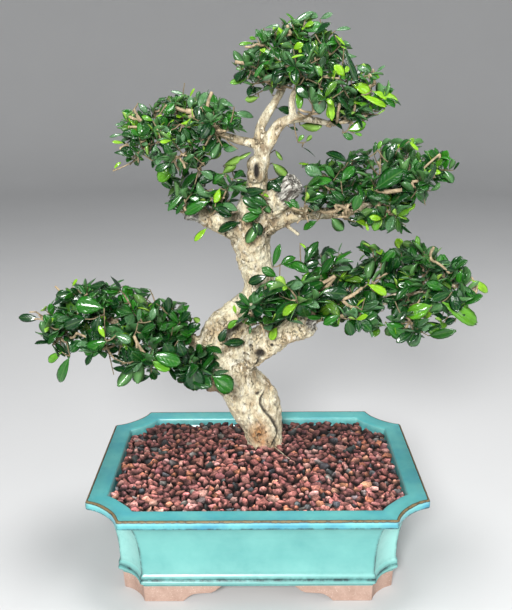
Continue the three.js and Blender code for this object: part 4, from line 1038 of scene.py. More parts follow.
# Single leaves that stand out, by the spray that carries them: the pixels of the photograph where each starts
# and ends, how far back it is in millimetres, its width against the usual, and its kind
LONE_LEAVES = {
    "low_left_01": [(40, 319, 18, 317, 16, 0.75, "dark")],
    "low_left_03": [
        (70, 356, 56, 385, -25, 0.6, "mid"), (62, 352, 47, 362, -30, 0.8, "fresh"),
        (60, 329, 49, 345, -25, 1, "gloss")],
    "low_left_04": [(72, 287, 76, 279, 15, 0.6, "lime")],
    "low_left_06": [
        (135, 363, 121, 386, -40, 0.85, "under"), (107, 341, 84, 354, -40, 1.2, "mid"),
        (104, 308, 75, 304, -20, 1.2, "mid"), (100, 315, 95, 333, -30, 1.1, "dark"),
        (85, 319, 63, 328, -25, 1.1, "dark"), (116, 335, 131, 342, -40, 1.1, "pale"),
        (105, 338, 99, 327, -35, 0.8, "lime")],
    "low_left_07": [(112, 293, 100, 284, 15, 1, "dark")],
    "low_left_09": [
        (151, 354, 181, 363, -45, 1, "mid"), (138, 322, 141, 309, -20, 1, "pale"),
        (151, 321, 154, 309, -20, 1, "pale"), (141, 333, 154, 324, -30, 1.1, "gloss"),
        (151, 359, 132, 355, -45, 1.1, "mid"), (142, 361, 137, 383, -40, 0.9, "under"),
        (150, 361, 170, 370, -48, 1, "fresh"), (178, 341, 184, 357, -30, 1.3, "dark")],
    "low_left_10": [(168, 314, 168, 297, 10, 1, "dark"), (180, 322, 191, 312, 5, 1, "dark")],
    "low_left_11": [(192, 361, 195, 391, -30, 1.3, "dark"), (212, 376, 234, 390, -25, 1.45, "mid")],
    "low_right_01": [(471, 280, 491, 292, 10, 0.7, "lime")],
    "low_right_03": [
        (442, 302, 481, 324, -35, 0.7, "fresh"), (447, 290, 428, 282, -15, 1, "mid"),
        (463, 318, 465, 303, -20, 1.1, "fresh")],
    "low_right_04": [(418, 248, 419, 237, 10, 1.1, "fresh"), (454, 270, 466, 259, 5, 1, "gloss")],
    "low_right_06": [
        (432, 305, 407, 316, -40, 1.1, "fresh"), (420, 324, 444, 332, -42, 1, "fresh"),
        (420, 326, 409, 347, -40, 1.2, "pale"), (385, 322, 405, 337, -42, 1.2, "mid"),
        (408, 312, 393, 321, -42, 1, "dark"), (395, 301, 406, 288, -30, 1, "gloss")],
    "low_right_07": [(381, 263, 395, 250, 10, 1, "mid")],
    "low_right_09": [
        (339, 294, 316, 292, -25, 0.8, "dark"), (347, 319, 353, 337, -40, 1.2, "gloss"),
        (356, 306, 378, 319, -44, 1.1, "mid"), (367, 284, 387, 295, -30, 0.7, "lime"),
        (340, 315, 323, 324, -44, 1, "mid")],
    "low_right_10": [(304, 264, 316, 242, -4, 0.7, "gloss")],
    "low_right_11": [
        (280, 265, 295, 257, 0, 1, "mid"), (310, 273, 293, 262, -4, 1, "mid"),
        (290, 303, 268, 287, -12, 1.1, "gloss"), (308, 293, 290, 281, -12, 1.1, "gloss"),
        (277, 277, 262, 268, -2, 1, "mid"), (265, 297, 277, 315, -6, 1, "dark"),
        (340, 292, 319, 297, -20, 1, "dark"), (300, 283, 313, 274, -8, 1.1, "fresh"),
        (254, 301, 263, 288, -2, 1, "dark"), (301, 268, 319, 262, 0, 1, "dark"),
        (276, 290, 258, 296, -6, 0.9, "mid"), (312, 308, 296, 300, -16, 1, "mid"),
        (273, 267, 280, 244, 0, 0.55, "mid"), (281, 286, 266, 284, 0, 0.8, "gloss"),
        (287, 308, 309, 313, -8, 0.8, "mid"), (322, 318, 307, 318, -20, 0.8, "mid"),
        (322, 317, 339, 326, -20, 0.8, "mid"), (322, 298, 307, 308, -20, 1, "gloss"),
        (321, 275, 331, 258, -15, 1.1, "gloss"), (281, 264, 301, 266, -2, 0.8, "mid"),
        (300, 243, 306, 248, 0, 0.7, "lime"), (292, 315, 298, 321, -8, 0.8, "lime"),
        (320, 292, 349, 294, -35, 1, "dark")],
    "low_right_12": [
        (277, 327, 270, 340, 2, 1.2, "lime"), (269, 293, 290, 294, -4, 0.9, "gloss"),
        (268, 296, 298, 305, -6, 0.9, "mid"), (270, 304, 277, 317, 0, 0.8, "dark"),
        (267, 300, 261, 312, 2, 0.8, "under"), (262, 293, 248, 302, 3, 0.9, "mid"),
        (261, 310, 252, 318, 3, 0.9, "gloss"), (260, 317, 246, 323, 4, 0.8, "mid"),
        (250, 324, 250, 334, 5, 0.7, "under"), (241, 320, 227, 327, 6, 0.8, "fresh"),
        (236, 314, 234, 305, 6, 0.7, "lime"), (239, 314, 250, 306, 4, 0.9, "gloss"),
        (268, 276, 248, 282, 2, 0.9, "dark"), (266, 283, 258, 291, 2, 0.8, "under")],
    "mid_right_03": [(416, 180, 423, 195, 0, 1.1, "under")],
    "mid_right_04": [
        (351, 160, 370, 157, 5, 0.7, "dark"), (378, 150, 381, 141, 10, 0.9, "fresh"),
        (388, 162, 392, 146, 5, 1.2, "dark"), (398, 149, 411, 140, 10, 1, "gloss"),
        (409, 141, 418, 151, 8, 0.6, "lime")],
    "mid_right_06": [
        (366, 222, 368, 231, -5, 0.7, "lime"), (381, 214, 374, 231, -10, 1.1, "fresh"),
        (388, 206, 405, 233, -10, 0.6, "mid"), (390, 205, 404, 222, -8, 0.7, "fresh"),
        (386, 211, 392, 229, -12, 0.7, "mid"), (374, 190, 402, 169, -15, 1.1, "gloss")],
    "mid_right_07": [(348, 162, 327, 152, 5, 0.9, "dark")],
    "mid_right_08": [
        (346, 219, 360, 225, 0, 1, "dark"), (341, 181, 353, 166, -5, 1.2, "mid"),
        (366, 196, 390, 200, -15, 0.9, "gloss")],
    "mid_right_09": [
        (317, 221, 303, 228, 0, 1, "mid"), (331, 218, 344, 230, 0, 1.3, "under"),
        (318, 178, 336, 185, -10, 1.1, "dark"), (323, 176, 305, 167, -5, 1.2, "pale"),
        (312, 198, 320, 198, -10, 1.3, "lime"), (330, 190, 345, 200, -15, 0.9, "gloss")],
    "left_arm_01": [
        (207, 228, 194, 241, 15, 0.75, "lime"), (198, 172, 182, 190, -2, 1.3, "gloss"),
        (186, 191, 168, 211, 0, 0.45, "mid"), (187, 199, 175, 214, -4, 0.5, "gloss")],
    "left_arm_02": [
        (203, 187, 184, 178, 8, 1.25, "dark"), (196, 168, 210, 158, 12, 1.1, "dark"),
        (206, 196, 222, 190, 2, 1, "mid"), (208, 202, 188, 197, 0, 1, "dark"),
        (232, 212, 213, 204, 2, 1.1, "gloss"), (186, 165, 194, 150, 12, 1.2, "dark"),
        (196, 184, 214, 172, 6, 1.1, "dark"), (217, 212, 232, 216, 4, 1, "dark"),
        (222, 174, 236, 163, 14, 0.9, "olive"), (210, 160, 222, 148, 16, 1, "olive"),
        (241, 222, 217, 229, 20, 0.8, "dark"), (258, 223, 247, 243, 14, 1, "under"),
        (252, 220, 262, 235, 15, 1.2, "dark"), (230, 207, 215, 209, 12, 0.8, "dark"),
        (238, 210, 227, 203, 12, 0.8, "under"), (212, 189, 221, 202, 10, 0.9, "lime"),
        (225, 174, 212, 183, 4, 1, "mid"), (208, 196, 190, 189, -4, 1.1, "dark"),
        (210, 201, 183, 212, -8, 0.75, "mid"), (220, 188, 215, 203, -2, 1, "lime"),
        (215, 207, 231, 212, -2, 0.9, "dark"), (238, 211, 224, 202, 2, 1.1, "pale"),
        (196, 185, 211, 204, 10, 1.1, "dark"), (211, 171, 225, 186, 10, 0.9, "mid")],
    "up_left_01": [
        (125, 143, 112, 142, 8, 0.45, "lime"), (127, 124, 115, 125, 10, 0.5, "pale"),
        (125, 134, 109, 136, 10, 0.35, "pale"), (133, 110, 121, 110, 20, 0.5, "pale"),
        (138, 103, 147, 112, 8, 1, "pale"), (114, 169, 119, 162, 3, 0.6, "lime")],
    "up_left_02": [
        (156, 144, 155, 165, -20, 0.95, "pale"), (146, 140, 148, 155, -14, 0.6, "olive"),
        (145, 138, 134, 136, -10, 1, "fresh"), (153, 121, 142, 116, -4, 0.9, "fresh")],
    "up_left_04": [
        (186, 95, 171, 90, 10, 0.6, "pale"), (189, 99, 194, 88, 6, 0.3, "lime"),
        (198, 109, 205, 92, 5, 1, "pale"), (190, 109, 190, 97, 0, 1.2, "pale"),
        (187, 99, 165, 102, 8, 0.5, "pale"), (156, 117, 161, 114, -10, 0.8, "lime")],
    "up_left_06": [
        (190, 127, 206, 132, -8, 1, "dark"), (183, 143, 183, 134, -14, 1, "pale"),
        (174, 168, 157, 180, -4, 1.2, "fresh"), (197, 169, 184, 154, -2, 1.25, "gloss"),
        (200, 171, 213, 179, -2, 1.2, "pale"), (204, 154, 213, 153, 4, 0.7, "olive"),
        (180, 124, 193, 122, -12, 0.6, "lime"), (171, 130, 164, 145, -16, 0.8, "fresh")],
    "up_left_08": [
        (221, 121, 234, 128, 0, 1.1, "gloss"), (205, 114, 218, 119, 0, 0.7, "pale"),
        (214, 148, 228, 143, 6, 0.7, "mid"), (234, 107, 222, 101, 20, 0.9, "pale"),
        (233, 114, 253, 114, 30, 0.8, "pale"), (238, 149, 224, 148, 6, 1.1, "pale")],
    "crown_01": [
        (292, 24, 313, 11, 20, 0.5, "pale"), (306, 14, 318, 16, 24, 1.1, "pale"),
        (320, 19, 333, 14, 30, 0.9, "pale")],
    "crown_02": [
        (284, 36, 280, 27, 10, 0.9, "lime"), (264, 28, 255, 37, 30, 0.6, "pale"),
        (264, 28, 280, 26, 30, 0.5, "pale"), (257, 39, 249, 38, 24, 0.8, "fresh"),
        (253, 43, 239, 44, 20, 0.5, "fresh")],
    "crown_03": [
        (248, 78, 230, 84, 6, 0.7, "fresh"), (247, 79, 244, 71, 6, 0.7, "dark"),
        (259, 97, 245, 101, 20, 0.9, "olive"), (272, 95, 271, 84, 40, 0.9, "olive")],
    "crown_04": [
        (335, 31, 350, 26, 20, 0.6, "pale"), (315, 34, 332, 25, 5, 1.1, "dark"),
        (335, 35, 346, 44, 2, 0.6, "lime")],
    "crown_05": [
        (352, 85, 372, 92, 0, 1, "lime"), (372, 91, 400, 101, 0, 0.6, "lime"),
        (361, 95, 387, 107, -4, 0.8, "lime"), (345, 77, 335, 65, -8, 1.2, "lime"),
        (344, 48, 356, 84, -6, 0.4, "dark"), (376, 72, 385, 65, 10, 0.7, "pale"),
        (371, 72, 359, 66, 8, 0.9, "pale"), (364, 77, 380, 76, 2, 0.9, "fresh")],
    "crown_06": [
        (356, 102, 373, 110, 6, 0.9, "fresh"), (338, 110, 355, 114, 6, 1, "olive"),
        (347, 131, 366, 123, 10, 1, "fresh"), (342, 133, 353, 139, 12, 1, "mid"),
        (380, 86, 395, 89, 10, 0.5, "pale"), (343, 130, 333, 119, 14, 1, "dark"),
        (354, 133, 362, 135, 10, 0.8, "fresh")],
    "crown_08": [
        (284, 63, 274, 84, -14, 1, "dark"), (297, 87, 292, 68, -16, 1.1, "fresh"),
        (306, 80, 306, 60, -18, 1.3, "dark"), (289, 59, 304, 55, -24, 0.8, "lime"),
        (284, 58, 263, 62, -18, 0.5, "mid"), (266, 61, 254, 77, -14, 0.45, "mid"),
        (301, 83, 315, 85, -16, 0.7, "dark")],
    "crown_11": [
        (319, 88, 320, 114, -14, 1.05, "pale"), (328, 89, 333, 121, -16, 0.4, "lime"),
        (328, 104, 330, 118, -12, 0.8, "lime"), (299, 112, 300, 91, -10, 0.75, "fresh"),
        (322, 77, 316, 66, -20, 1.1, "fresh"), (318, 82, 330, 89, -14, 0.8, "dark")],
    "trunk_shoots": [
        (261, 196, 242, 190, 8, 1, "dark"), (268, 206, 252, 196, 4, 1.1, "gloss"),
        (271, 186, 288, 178, 14, 1, "dark"), (246, 208, 262, 212, 6, 1, "mid"),
        (282, 192, 270, 183, 10, 1, "dark"), (266, 190, 240, 193, 8, 0.8, "dark"),
        (262, 209, 243, 197, 6, 0.9, "gloss"), (262, 213, 242, 220, 8, 0.9, "mid"),
        (235, 179, 248, 185, 35, 0.8, "fresh"), (232, 171, 246, 178, 35, 0.8, "dark"),
        (259, 192, 269, 196, 10, 0.6, "lime"), (260, 200, 270, 213, 12, 0.9, "under"),
        (272, 163, 288, 177, 45, 0.9, "olive"), (275, 150, 283, 160, 45, 0.8, "olive"),
        (278, 178, 266, 190, 40, 0.9, "dark"), (282, 195, 297, 208, 12, 0.9, "mid"),
        (223, 166, 239, 159, 40, 0.8, "olive"), (229, 164, 251, 152, 16, 0.35, "olive"),
        (224, 165, 242, 159, 14, 0.9, "olive"), (298, 142, 303, 135, 20, 0.9, "fresh"),
        (306, 142, 312, 135, 24, 0.9, "olive"), (302, 147, 317, 154, 26, 0.35, "dark"),
        (289, 127, 298, 131, 26, 0.9, "dark"), (300, 125, 322, 128, 28, 1, "olive"),
        (277, 108, 292, 112, 36, 1.1, "dark"), (227, 328, 219, 342, 8, 0.9, "dark"),
        (222, 344, 243, 340, 8, 0.9, "dark")],
}
# Bare twigs that stand out, in the same way, with the radius last
LONE_TWIGS = {
    "low_left_01": [(48, 322, 34, 319, 10, 0.9)],
    "low_left_03": [(77, 333, 87, 337, -25, 1.1)],
    "low_left_04": [(66, 295, 55, 286, 10, 1)],
    "low_left_09": [(134, 336, 137, 348, -40, 1.3)],
    "low_right_04": [(430, 256, 434, 247, 0, 1.4), (436, 262, 449, 273, -5, 1.1)],
    "low_right_09": [(362, 309, 330, 319, -26, 1.8), (342, 300, 362, 288, -35, 1.5)],
    "low_right_11": [(335, 276, 313, 287, -14, 1.8), (309, 290, 321, 280, -12, 1.4)],
    "mid_right_01": [(440, 154, 424, 168, 5, 1)],
    "mid_right_03": [(412, 182, 435, 176, -5, 1.4)],
    "mid_right_06": [(384, 192, 402, 190, -12, 2)],
    "mid_right_09": [(333, 212, 351, 203, 5, 1.5), (335, 205, 350, 211, 0, 1.4)],
    "up_left_01": [
        (134, 109, 141, 120, 8, 1), (139, 121, 129, 116, 4, 1.2), (143, 129, 128, 127, 2, 1.2),
        (128, 145, 120, 149, 4, 1.7), (140, 158, 113, 171, 4, 0.6)],
    "up_left_02": [(163, 140, 158, 128, -8, 2.2)],
    "up_left_04": [
        (186, 111, 165, 106, -2, 1.3), (202, 109, 189, 118, -2, 2.3), (207, 109, 212, 92, 4, 1.5)],
    "up_left_06": [
        (204, 135, 188, 144, 2, 2.2), (180, 171, 165, 151, -2, 1), (200, 165, 204, 159, 10, 1.2)],
    "up_left_08": [(223, 135, 209, 119, 6, 2)],
    "crown_02": [(257, 44, 245, 47, 16, 1), (291, 34, 287, 25, 14, 1.3)],
    "crown_03": [(254, 66, 235, 62, 8, 1.5)],
    "crown_05": [(323, 77, 352, 79, -8, 0.8), (375, 83, 369, 87, 6, 1.6), (374, 76, 373, 69, 8, 0.9)],
    "crown_06": [(325, 122, 331, 126, 18, 1.6), (338, 113, 340, 103, 4, 1.3)],
    "crown_08": [(289, 61, 286, 53, -18, 1.8)],
    "crown_11": [(313, 108, 314, 84, 0, 1.2)],
}
# A leaf's outline: how far along each row is at its rib, halfway and at its edge, and the row's half width
LEAF_ROWS = [
    (0.00, 0.00, 0.00, 0.025), (0.09, 0.09, 0.09, 0.035), (0.24, 0.235, 0.23, 0.148),
    (0.42, 0.415, 0.41, 0.232), (0.60, 0.60, 0.60, 0.265), (0.77, 0.775, 0.77, 0.242),
    (0.90, 0.91, 0.885, 0.17), (0.975, 1.0, 0.95, 0.08),
]
LEAF_THICKNESS = 0.45
# The least and the most that a leaf is folded along its rib, arched along its length and twisted
LEAF_FOLD, LEAF_ARCH, LEAF_TWIST = (0.05, 0.6), (-0.12, 0.36), (-0.45, 0.45)
STEM_POINTS = 13
# How thick a stem and a shoot are where they start and where they end
STEM_RADII, SHOOT_RADII = (1.5, 0.7), (0.75, 0.4)
SHOOT_LENGTHS = (9, 24)
# From this length on, a shoot carries three pairs of leaves and not two
LONG_SHOOT = 15
# How far leaves stray past the top and the floor of their pad, and the share of old ones painted grey-green,
# partly as a bloom and partly as a painted sheen
TOP_STRAY, FLOOR_STRAY, BLOOM_AND_SHEEN_SHARE = 4.5, 3.0, 0.15
# How far the leaves may reach past the low and the high corner of their spray's solid
PAST_LOW, PAST_HIGH = (8, 12, 12), (8, 8, 2)
TWIG_LENGTHS = (6, 17)
TWIG_RADII = (0.6, 1.4)
TWIG_TOUCHES = 0.3
# How far round the stem each shoot or leaf stands from the one before
SPIRAL = 2.4


def leaf_pattern():
    """A flat leaf one long: its corners as along, across and half, and its upper and lower faces."""
    corners, upper, lower = [], [], []
    for rib, mid, edge, half in LEAF_ROWS:
        corners += [(edge, -half, 1), (mid, -half / 2, 0.5), (rib, 0, 0)]
        corners += [(mid, half / 2, 0.5), (edge, half, 1)]
    rows = len(LEAF_ROWS)
    first = len(corners)
    corners += [(rib, 0, 2) for rib, *_ in LEAF_ROWS]
    for r in range(rows - 1):
        a, b = 5 * r, 5 * r + 5
        upper += [(a + k, a + k + 1, b + k + 1, b + k) for k in range(4)]
        lower += [(a, b, first + r + 1, first + r), (first + r, first + r + 1, b + 4, a + 4)]
    a = 5 * (rows - 1)
    upper += [(a + k, a + k + 1, first + rows - 1) for k in range(4)]
    upper += [(k + 1, k, first) for k in range(4)]
    return np.array(corners), upper, lower


LEAF_CORNERS, LEAF_UPPER, LEAF_LOWER = leaf_pattern()


def leaf_mesh(root, ahead, face, length, width, fold, arch, twist):
    """The corners of one leaf in place. ahead is the way it points and face the way its upper side looks."""
    along, across, layer = LEAF_CORNERS.T
    face = face - ahead * (face @ ahead)
    face = face / np.linalg.norm(face)
    aside = np.cross(ahead, face)
    spread = np.abs(across)
    lift = fold * spread * width - arch * along ** 2
    lift = lift + 0.06 * np.sin(np.pi * along) * (layer == 0.5) * width
    lift = lift + twist * across * along
    under = np.where(layer == 2, LEAF_THICKNESS * np.sin(np.pi * np.clip(along * 0.9 + 0.05, 0, 1)), 0)
    return (root + np.outer(along * length, ahead) + np.outer(across * length * width, aside)
            + np.outer(lift * length - under, face))


def unit(vector):
    """The same direction, one long."""
    vector = np.asarray(vector, float)
    return vector / np.linalg.norm(vector)


def limb_point(name, share):
    """A point on a limb, counted as a share of the spans between its points."""
    line = smooth_line(np.array(LIMBS[name])[:, :3], 12)
    return line[int(round(share * (len(line) - 1)))]


def inside_wood(points):
    """Which of the points lie in the trunk or a limb."""
    inside = np.zeros(len(points), bool)
    for line in (TRUNK, *LIMBS.values()):
        for gap, size in along_limb(points, line):
            inside |= gap < size + 0.5
    return inside


def pad_top(pad, x, y):
    """How high a pad's leaves reach. The low pads slope down to the back, and the crown is level."""
    line = np.array(PAD_TOPS[pad], float)
    top = np.interp(x, line[:, 0], line[:, 1])
    return top - (VIEW_HEIGHT - top) / VIEW_TO_MIDDLE * (y - PAD_MIDDLE)


def pad_floor(pad, x, y):
    """How low a pad's leaves hang, seen level with the front of the pad."""
    line = np.array(PAD_FLOORS[pad], float)
    floor = np.interp(x, line[:, 0], line[:, 1])
    return floor - (VIEW_HEIGHT - floor) / VIEW_TO_FRONT * (y - PAD_FRONT)


def hides_bare_wood(points):
    """Which of the points stand before a place where the wood shows."""
    hiding = np.zeros(len(points), bool)
    for spot, reach in BARE_WOOD:
        spot = np.array(spot, float)
        line = [spot, spot + HIDES_FOR * unit(np.array(CAMERA_SPOT) - spot)]
        hiding |= away_from_line(points, line) < reach
    return hiding


def shoot_starts(random, shoots, stem, tip, ahead, level, above):
    """Where a spray's shoots start, the way each grows and how strong it is."""
    starts = []
    # Shoots spread round the stem, one carries on from its end, and a few stand forward from the limb
    for k in range(shoots):
        angle = SPIRAL * k + random.uniform(-0.6, 0.6)
        sideways = unit(level * math.cos(angle) + above * math.sin(angle) * 0.75 + [0, 0, 0.12])
        way = unit(ahead * random.uniform(0.1, 0.8) + sideways * random.uniform(0.7, 1.1))
        share = 0.1 + 0.86 * (k + random.uniform(0, 0.9)) / shoots
        starts.append((stem[int(round(share * (STEM_POINTS - 1)))], way, 1.0))
    starts.append((tip, ahead, 0.5))
    for _ in range(3):
        way = unit([random.uniform(-0.9, 0.9), -1, random.uniform(-0.5, 0.6)])
        starts.append((stem[random.integers(0, 4)], way, 0.7))
    return starts


def grow_spray(random, pad, root, tip, low, high):
    """The rods of one spray, its stem first, and its leaves, kept within a box and its pad."""
    lengths, shoots, twigs, young, (left, right) = PAD_HABIT[pad]
    rods, leaves = [], []
    reach = np.linalg.norm(tip - root)
    shares = np.linspace(0, 1, STEM_POINTS)
    stem = root + np.outer(shares, tip - root) - np.outer(np.sin(np.pi * shares), [0, 0, 0.1 * reach])
    rods.append((np.column_stack([stem, np.linspace(*STEM_RADII, STEM_POINTS)]), 6, 0.7))
    ahead = unit(tip - root)
    level = unit(np.cross(ahead, [0, 0, 1]) + 1e-6)
    above = np.cross(level, ahead)

    def leaf_at(point, way, outward, size, newness=0.0):
        """Adds a leaf from this point, unless it would reach out of the box or of the pad."""
        face = unit(0.7 * np.array([0, -0.2, 1]) + 0.5 * outward + random.normal(scale=0.45, size=3))
        length = random.uniform(*lengths) * size
        end = point + way * length
        if np.any(end < low) or np.any(end > high) or not left < end[0] < right:
            return
        if end[2] > pad_top(pad, end[0], end[1]) + random.normal(scale=TOP_STRAY):
            return
        if end[2] < pad_floor(pad, end[0], end[1]) + random.normal(scale=FLOOR_STRAY):
            return
        # Some old leaves are painted grey-green, partly as a bloom and partly as a painted sheen
        if newness == 0 and random.random() < BLOOM_AND_SHEEN_SHARE:
            newness = -random.uniform(0.2, 0.9)
        # The lower and inner leaves are painted darker, towards the old green, as painted shade inside the
        # pad
        shade = np.clip(1.15 - (pad_top(pad, end[0], end[1]) - end[2]) / 60, 0.3, 1)
        width = random.uniform(0.65, 1.25)
        leaves.append((point, end, width, face, shade * random.uniform(0, 1) ** 1.4, newness))

    for start, way, vigour in shoot_starts(random, shoots, stem, tip, ahead, level, above):
        length = random.uniform(*SHOOT_LENGTHS) * vigour
        bend = np.array([0, 0, random.uniform(-0.1, 0.25) * length])
        path = smooth_line([start, start + way * length * 0.5 + bend * 0.2, start + way * length + bend], 6)
        grown = len(leaves)
        nodes = 2 if length < LONG_SHOOT else 3
        # Older leaves stand in pairs along the shoot, and a tuft of four at its end
        for n in range(nodes):
            point = path[int(round((0.3 + 0.62 * n / nodes) * (len(path) - 1)))]
            turn = SPIRAL * n + random.uniform(0, 6.28)
            for side in (0, math.pi):
                around = level * math.cos(turn + side) + above * math.sin(turn + side)
                outward = unit(around - way * (around @ way) + 0.2 * np.array([0, 0, 1]))
                leaf_at(point, unit(way * random.uniform(0.2, 1.0) + outward), unit(way + outward), 0.95)
        turn = random.uniform(0, 6.28)
        fresh = random.random() < young
        for n in range(4):
            turn += SPIRAL
            around = level * math.cos(turn) + above * math.sin(turn)
            outward = unit(around - way * (around @ way))
            newest = fresh and n > 1
            points_to = unit(way * random.uniform(0.4, 1.3) + outward)
            newness = random.uniform(0.6, 1) if newest else random.uniform(0, 0.25) * fresh
            leaf_at(path[-1], points_to, unit(way + 0.6 * outward), 0.65 if newest else 1.0, newness)
        # A shoot that hardly carries a leaf is left out with its leaves
        if len(leaves) > grown + 2:
            rods.append((np.column_stack([path[::2], np.linspace(*SHOOT_RADII, 7)]), 5, 0.2))
        else:
            del leaves[grown:]
    for _ in range(twigs):
        start = stem[random.integers(2, 11)]
        way = unit(random.normal(size=3) + [0, -0.9, 0.2])
        length = random.uniform(*TWIG_LENGTHS)
        thick = random.uniform(*TWIG_RADII)
        knee = start + way * length * 0.5 + random.normal(scale=1.0, size=3)
        end = start + way * length
        rods.append((np.array([[*start, thick], [*knee, thick * 0.9], [*end, thick * 0.8]]), 6, 1.0))
    return rods, leaves


def camera_turn():
    """How the camera is turned, as a matrix from its own directions to the object's."""
    level = math.cos(CAMERA_PITCH)
    forward = Vector((math.sin(CAMERA_YAW) * level, math.cos(CAMERA_YAW) * level, math.sin(CAMERA_PITCH)))
    right = Vector((math.cos(CAMERA_YAW), -math.sin(CAMERA_YAW), 0))
    level_view = Matrix((right, right.cross(forward), -forward)).transposed()
    return level_view @ Matrix.Rotation(CAMERA_ROLL, 3, "Z")


def seen_at(across, down, depth):
    """The point that this pixel of the photograph shows, when it is this far back."""
    pixel = CAMERA_SENSOR / CAMERA_LENS / PHOTO_HEIGHT
    way = camera_turn() @ Vector(((across - PHOTO_WIDTH / 2) * pixel, (PHOTO_HEIGHT / 2 - down) * pixel, -1))
    return np.array(CAMERA_SPOT) + (depth - CAMERA_SPOT[1]) / way.y * np.array(way)


def join_on(rods, start, radius, sides, age):
    """Adds a twig to the rods, from the nearest part of the wood or of the rods to what starts here."""
    carriers = np.vstack([WOOD_LINES, *(line for line, *_ in rods)])
    nearest = carriers[np.argmin(np.linalg.norm(carriers[:, :3] - start, axis=1) - carriers[:, 3]), :3]
    gap = np.linalg.norm(start - nearest)
    if gap < TWIG_TOUCHES:
        return
    middle = (nearest + start) / 2 - [0, 0, 0.1 * gap]
    line = np.column_stack([smooth_line([nearest, middle, start], 3), np.linspace(radius + 0.2, radius, 7)])
    rods.append((line, sides, age))


def add_lone_growth(random, name, rods, leaves):
    """Adds the single twigs and leaves of this spray, each joined to what carries it."""
    for *pixels, depth, radius in LONE_TWIGS.get(name, ()):
        start, end = seen_at(*pixels[:2], depth), seen_at(*pixels[2:], depth - END_NEARER)
        join_on(rods, start, radius, 6, 1.0)
        path = smooth_line([start, (start + end) / 2 + random.normal(scale=0.7, size=3), end], 4)
        rods.append((np.column_stack([path, radius * random.uniform(0.85, 1.15, len(path))]), 7, 1.0))
    for *pixels, depth, width, kind in LONE_LEAVES.get(name, ()):
        start, end = seen_at(*pixels[:2], depth), seen_at(*pixels[2:], depth - END_NEARER)
        face, green, newness = LEAF_KINDS[kind]
        join_on(rods, start, 0.5, 5, 0.4)
        leaves.append((start, end, width, face + random.normal(scale=0.22, size=3), green, newness))


def leafy_piece(random, name, rods, leaves):
    """One piece from its rods and leaves, with what their finishes read painted on."""
    corners, faces, slots, painting = [], [], [], []
    for line, sides, age in rods:
        form = rod(line, sides)
        add_form(corners, faces, form)
        slots += [2] * len(form[1])
        painting.append(np.tile([0, 0, age, 0], (len(form[0]), 1)))
    for start, end, width, face, green, newness in leaves:
        length = np.linalg.norm(end - start)
        made = leaf_mesh(start, (end - start) / length, face, length, width, random.uniform(*LEAF_FOLD),
                         random.uniform(*LEAF_ARCH), random.uniform(*LEAF_TWIST))
        add_form(corners, faces, (made, LEAF_UPPER + LEAF_LOWER))
        slots += [0] * len(LEAF_UPPER) + [1] * len(LEAF_LOWER)
        painting.append(np.column_stack([LEAF_CORNERS[:, 2] % 2, LEAF_CORNERS[:, 0],
                                         np.full(len(made), green), np.full(len(made), newness)]))
    piece = new_piece(name, corners, faces, *leaf_faces, shoot_bark)
    piece.data.polygons.foreach_set("material_index", slots)
    piece.data.polygons.foreach_set("use_smooth", [True] * len(faces))
    paint(piece, "leaf", np.vstack(painting))
    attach(piece, "root")
    return piece


def leaf_finish(name, old, fresh, lime, roughness):
    """One side of a leaf: glossy, old green to fresh green or lime, with a pale rib, veins, and a grey-green
    that is partly a bloom and partly a painted sheen.
    """
    leaf = new_finish(name, Roughness=roughness, Specular_IOR_Level=0.25, Coat_Weight=0.6,
                      Coat_Roughness=0.11)
    across, along, tint, newness = painted(leaf, "leaf")
    blotch = grain(leaf, 260, 3)
    # The grey-green is partly a bloom and partly a painted sheen
    bloom_and_sheen = calc(leaf, "MULTIPLY", span(leaf, newness, 0.0, -1.0),
                 span(leaf, grain(leaf, 420, 3), 0.35, 0.6, 0.45, 1.0))
    colour = layers(
        leaf, mix(leaf, tint, old, fresh),
        (newness, lime),
        (bloom_and_sheen, (0.13, 0.27, 0.13)),
        (span(leaf, across, 0.0, 0.12, 0.3, 0.0), (0.18, 0.34, 0.09)),
        (span(leaf, blotch, 0.4, 0.7, 0.0, 0.35), old),
    )
    slanted = calc(leaf, "SUBTRACT", along, calc(leaf, "MULTIPLY", across, 0.3))
    veins = calc(leaf, "SINE", calc(leaf, "MULTIPLY", slanted, 44.0))
    finish_with(leaf, colour, span(leaf, blotch, 0.3, 0.7, roughness - 0.06, roughness + 0.1),
                calc(leaf, "ADD", veins, blotch), 0.00018, 0.35)
    return leaf


WOOD_LINES = np.vstack([smooth_line(line, 6) for line in (TRUNK, *LIMBS.values())])
leaf_faces = (
    leaf_finish("leaf_upper_side", (0.002, 0.030, 0.006), (0.027, 0.20, 0.009), (0.25, 0.52, 0.015), 0.27),
    leaf_finish("leaf_underside", (0.05, 0.145, 0.045), (0.10, 0.25, 0.06), (0.30, 0.50, 0.06), 0.5),
)
shoot_bark = new_finish("shoot_bark", Roughness=0.75)
shoot_grain = grain(shoot_bark, 380, 4)
_, _, shoot_age, _ = painted(shoot_bark, "leaf")
shoot_colour = layers(
    shoot_bark, mix(shoot_bark, shoot_age, (0.13, 0.105, 0.045), (0.50, 0.385, 0.235)),
    (span(shoot_bark, shoot_grain, 0.35, 0.65, 0.7, 0.0), (0.10, 0.07, 0.04)),
)
finish_with(shoot_bark, shoot_colour, None, shoot_grain, 0.0004, 0.6)

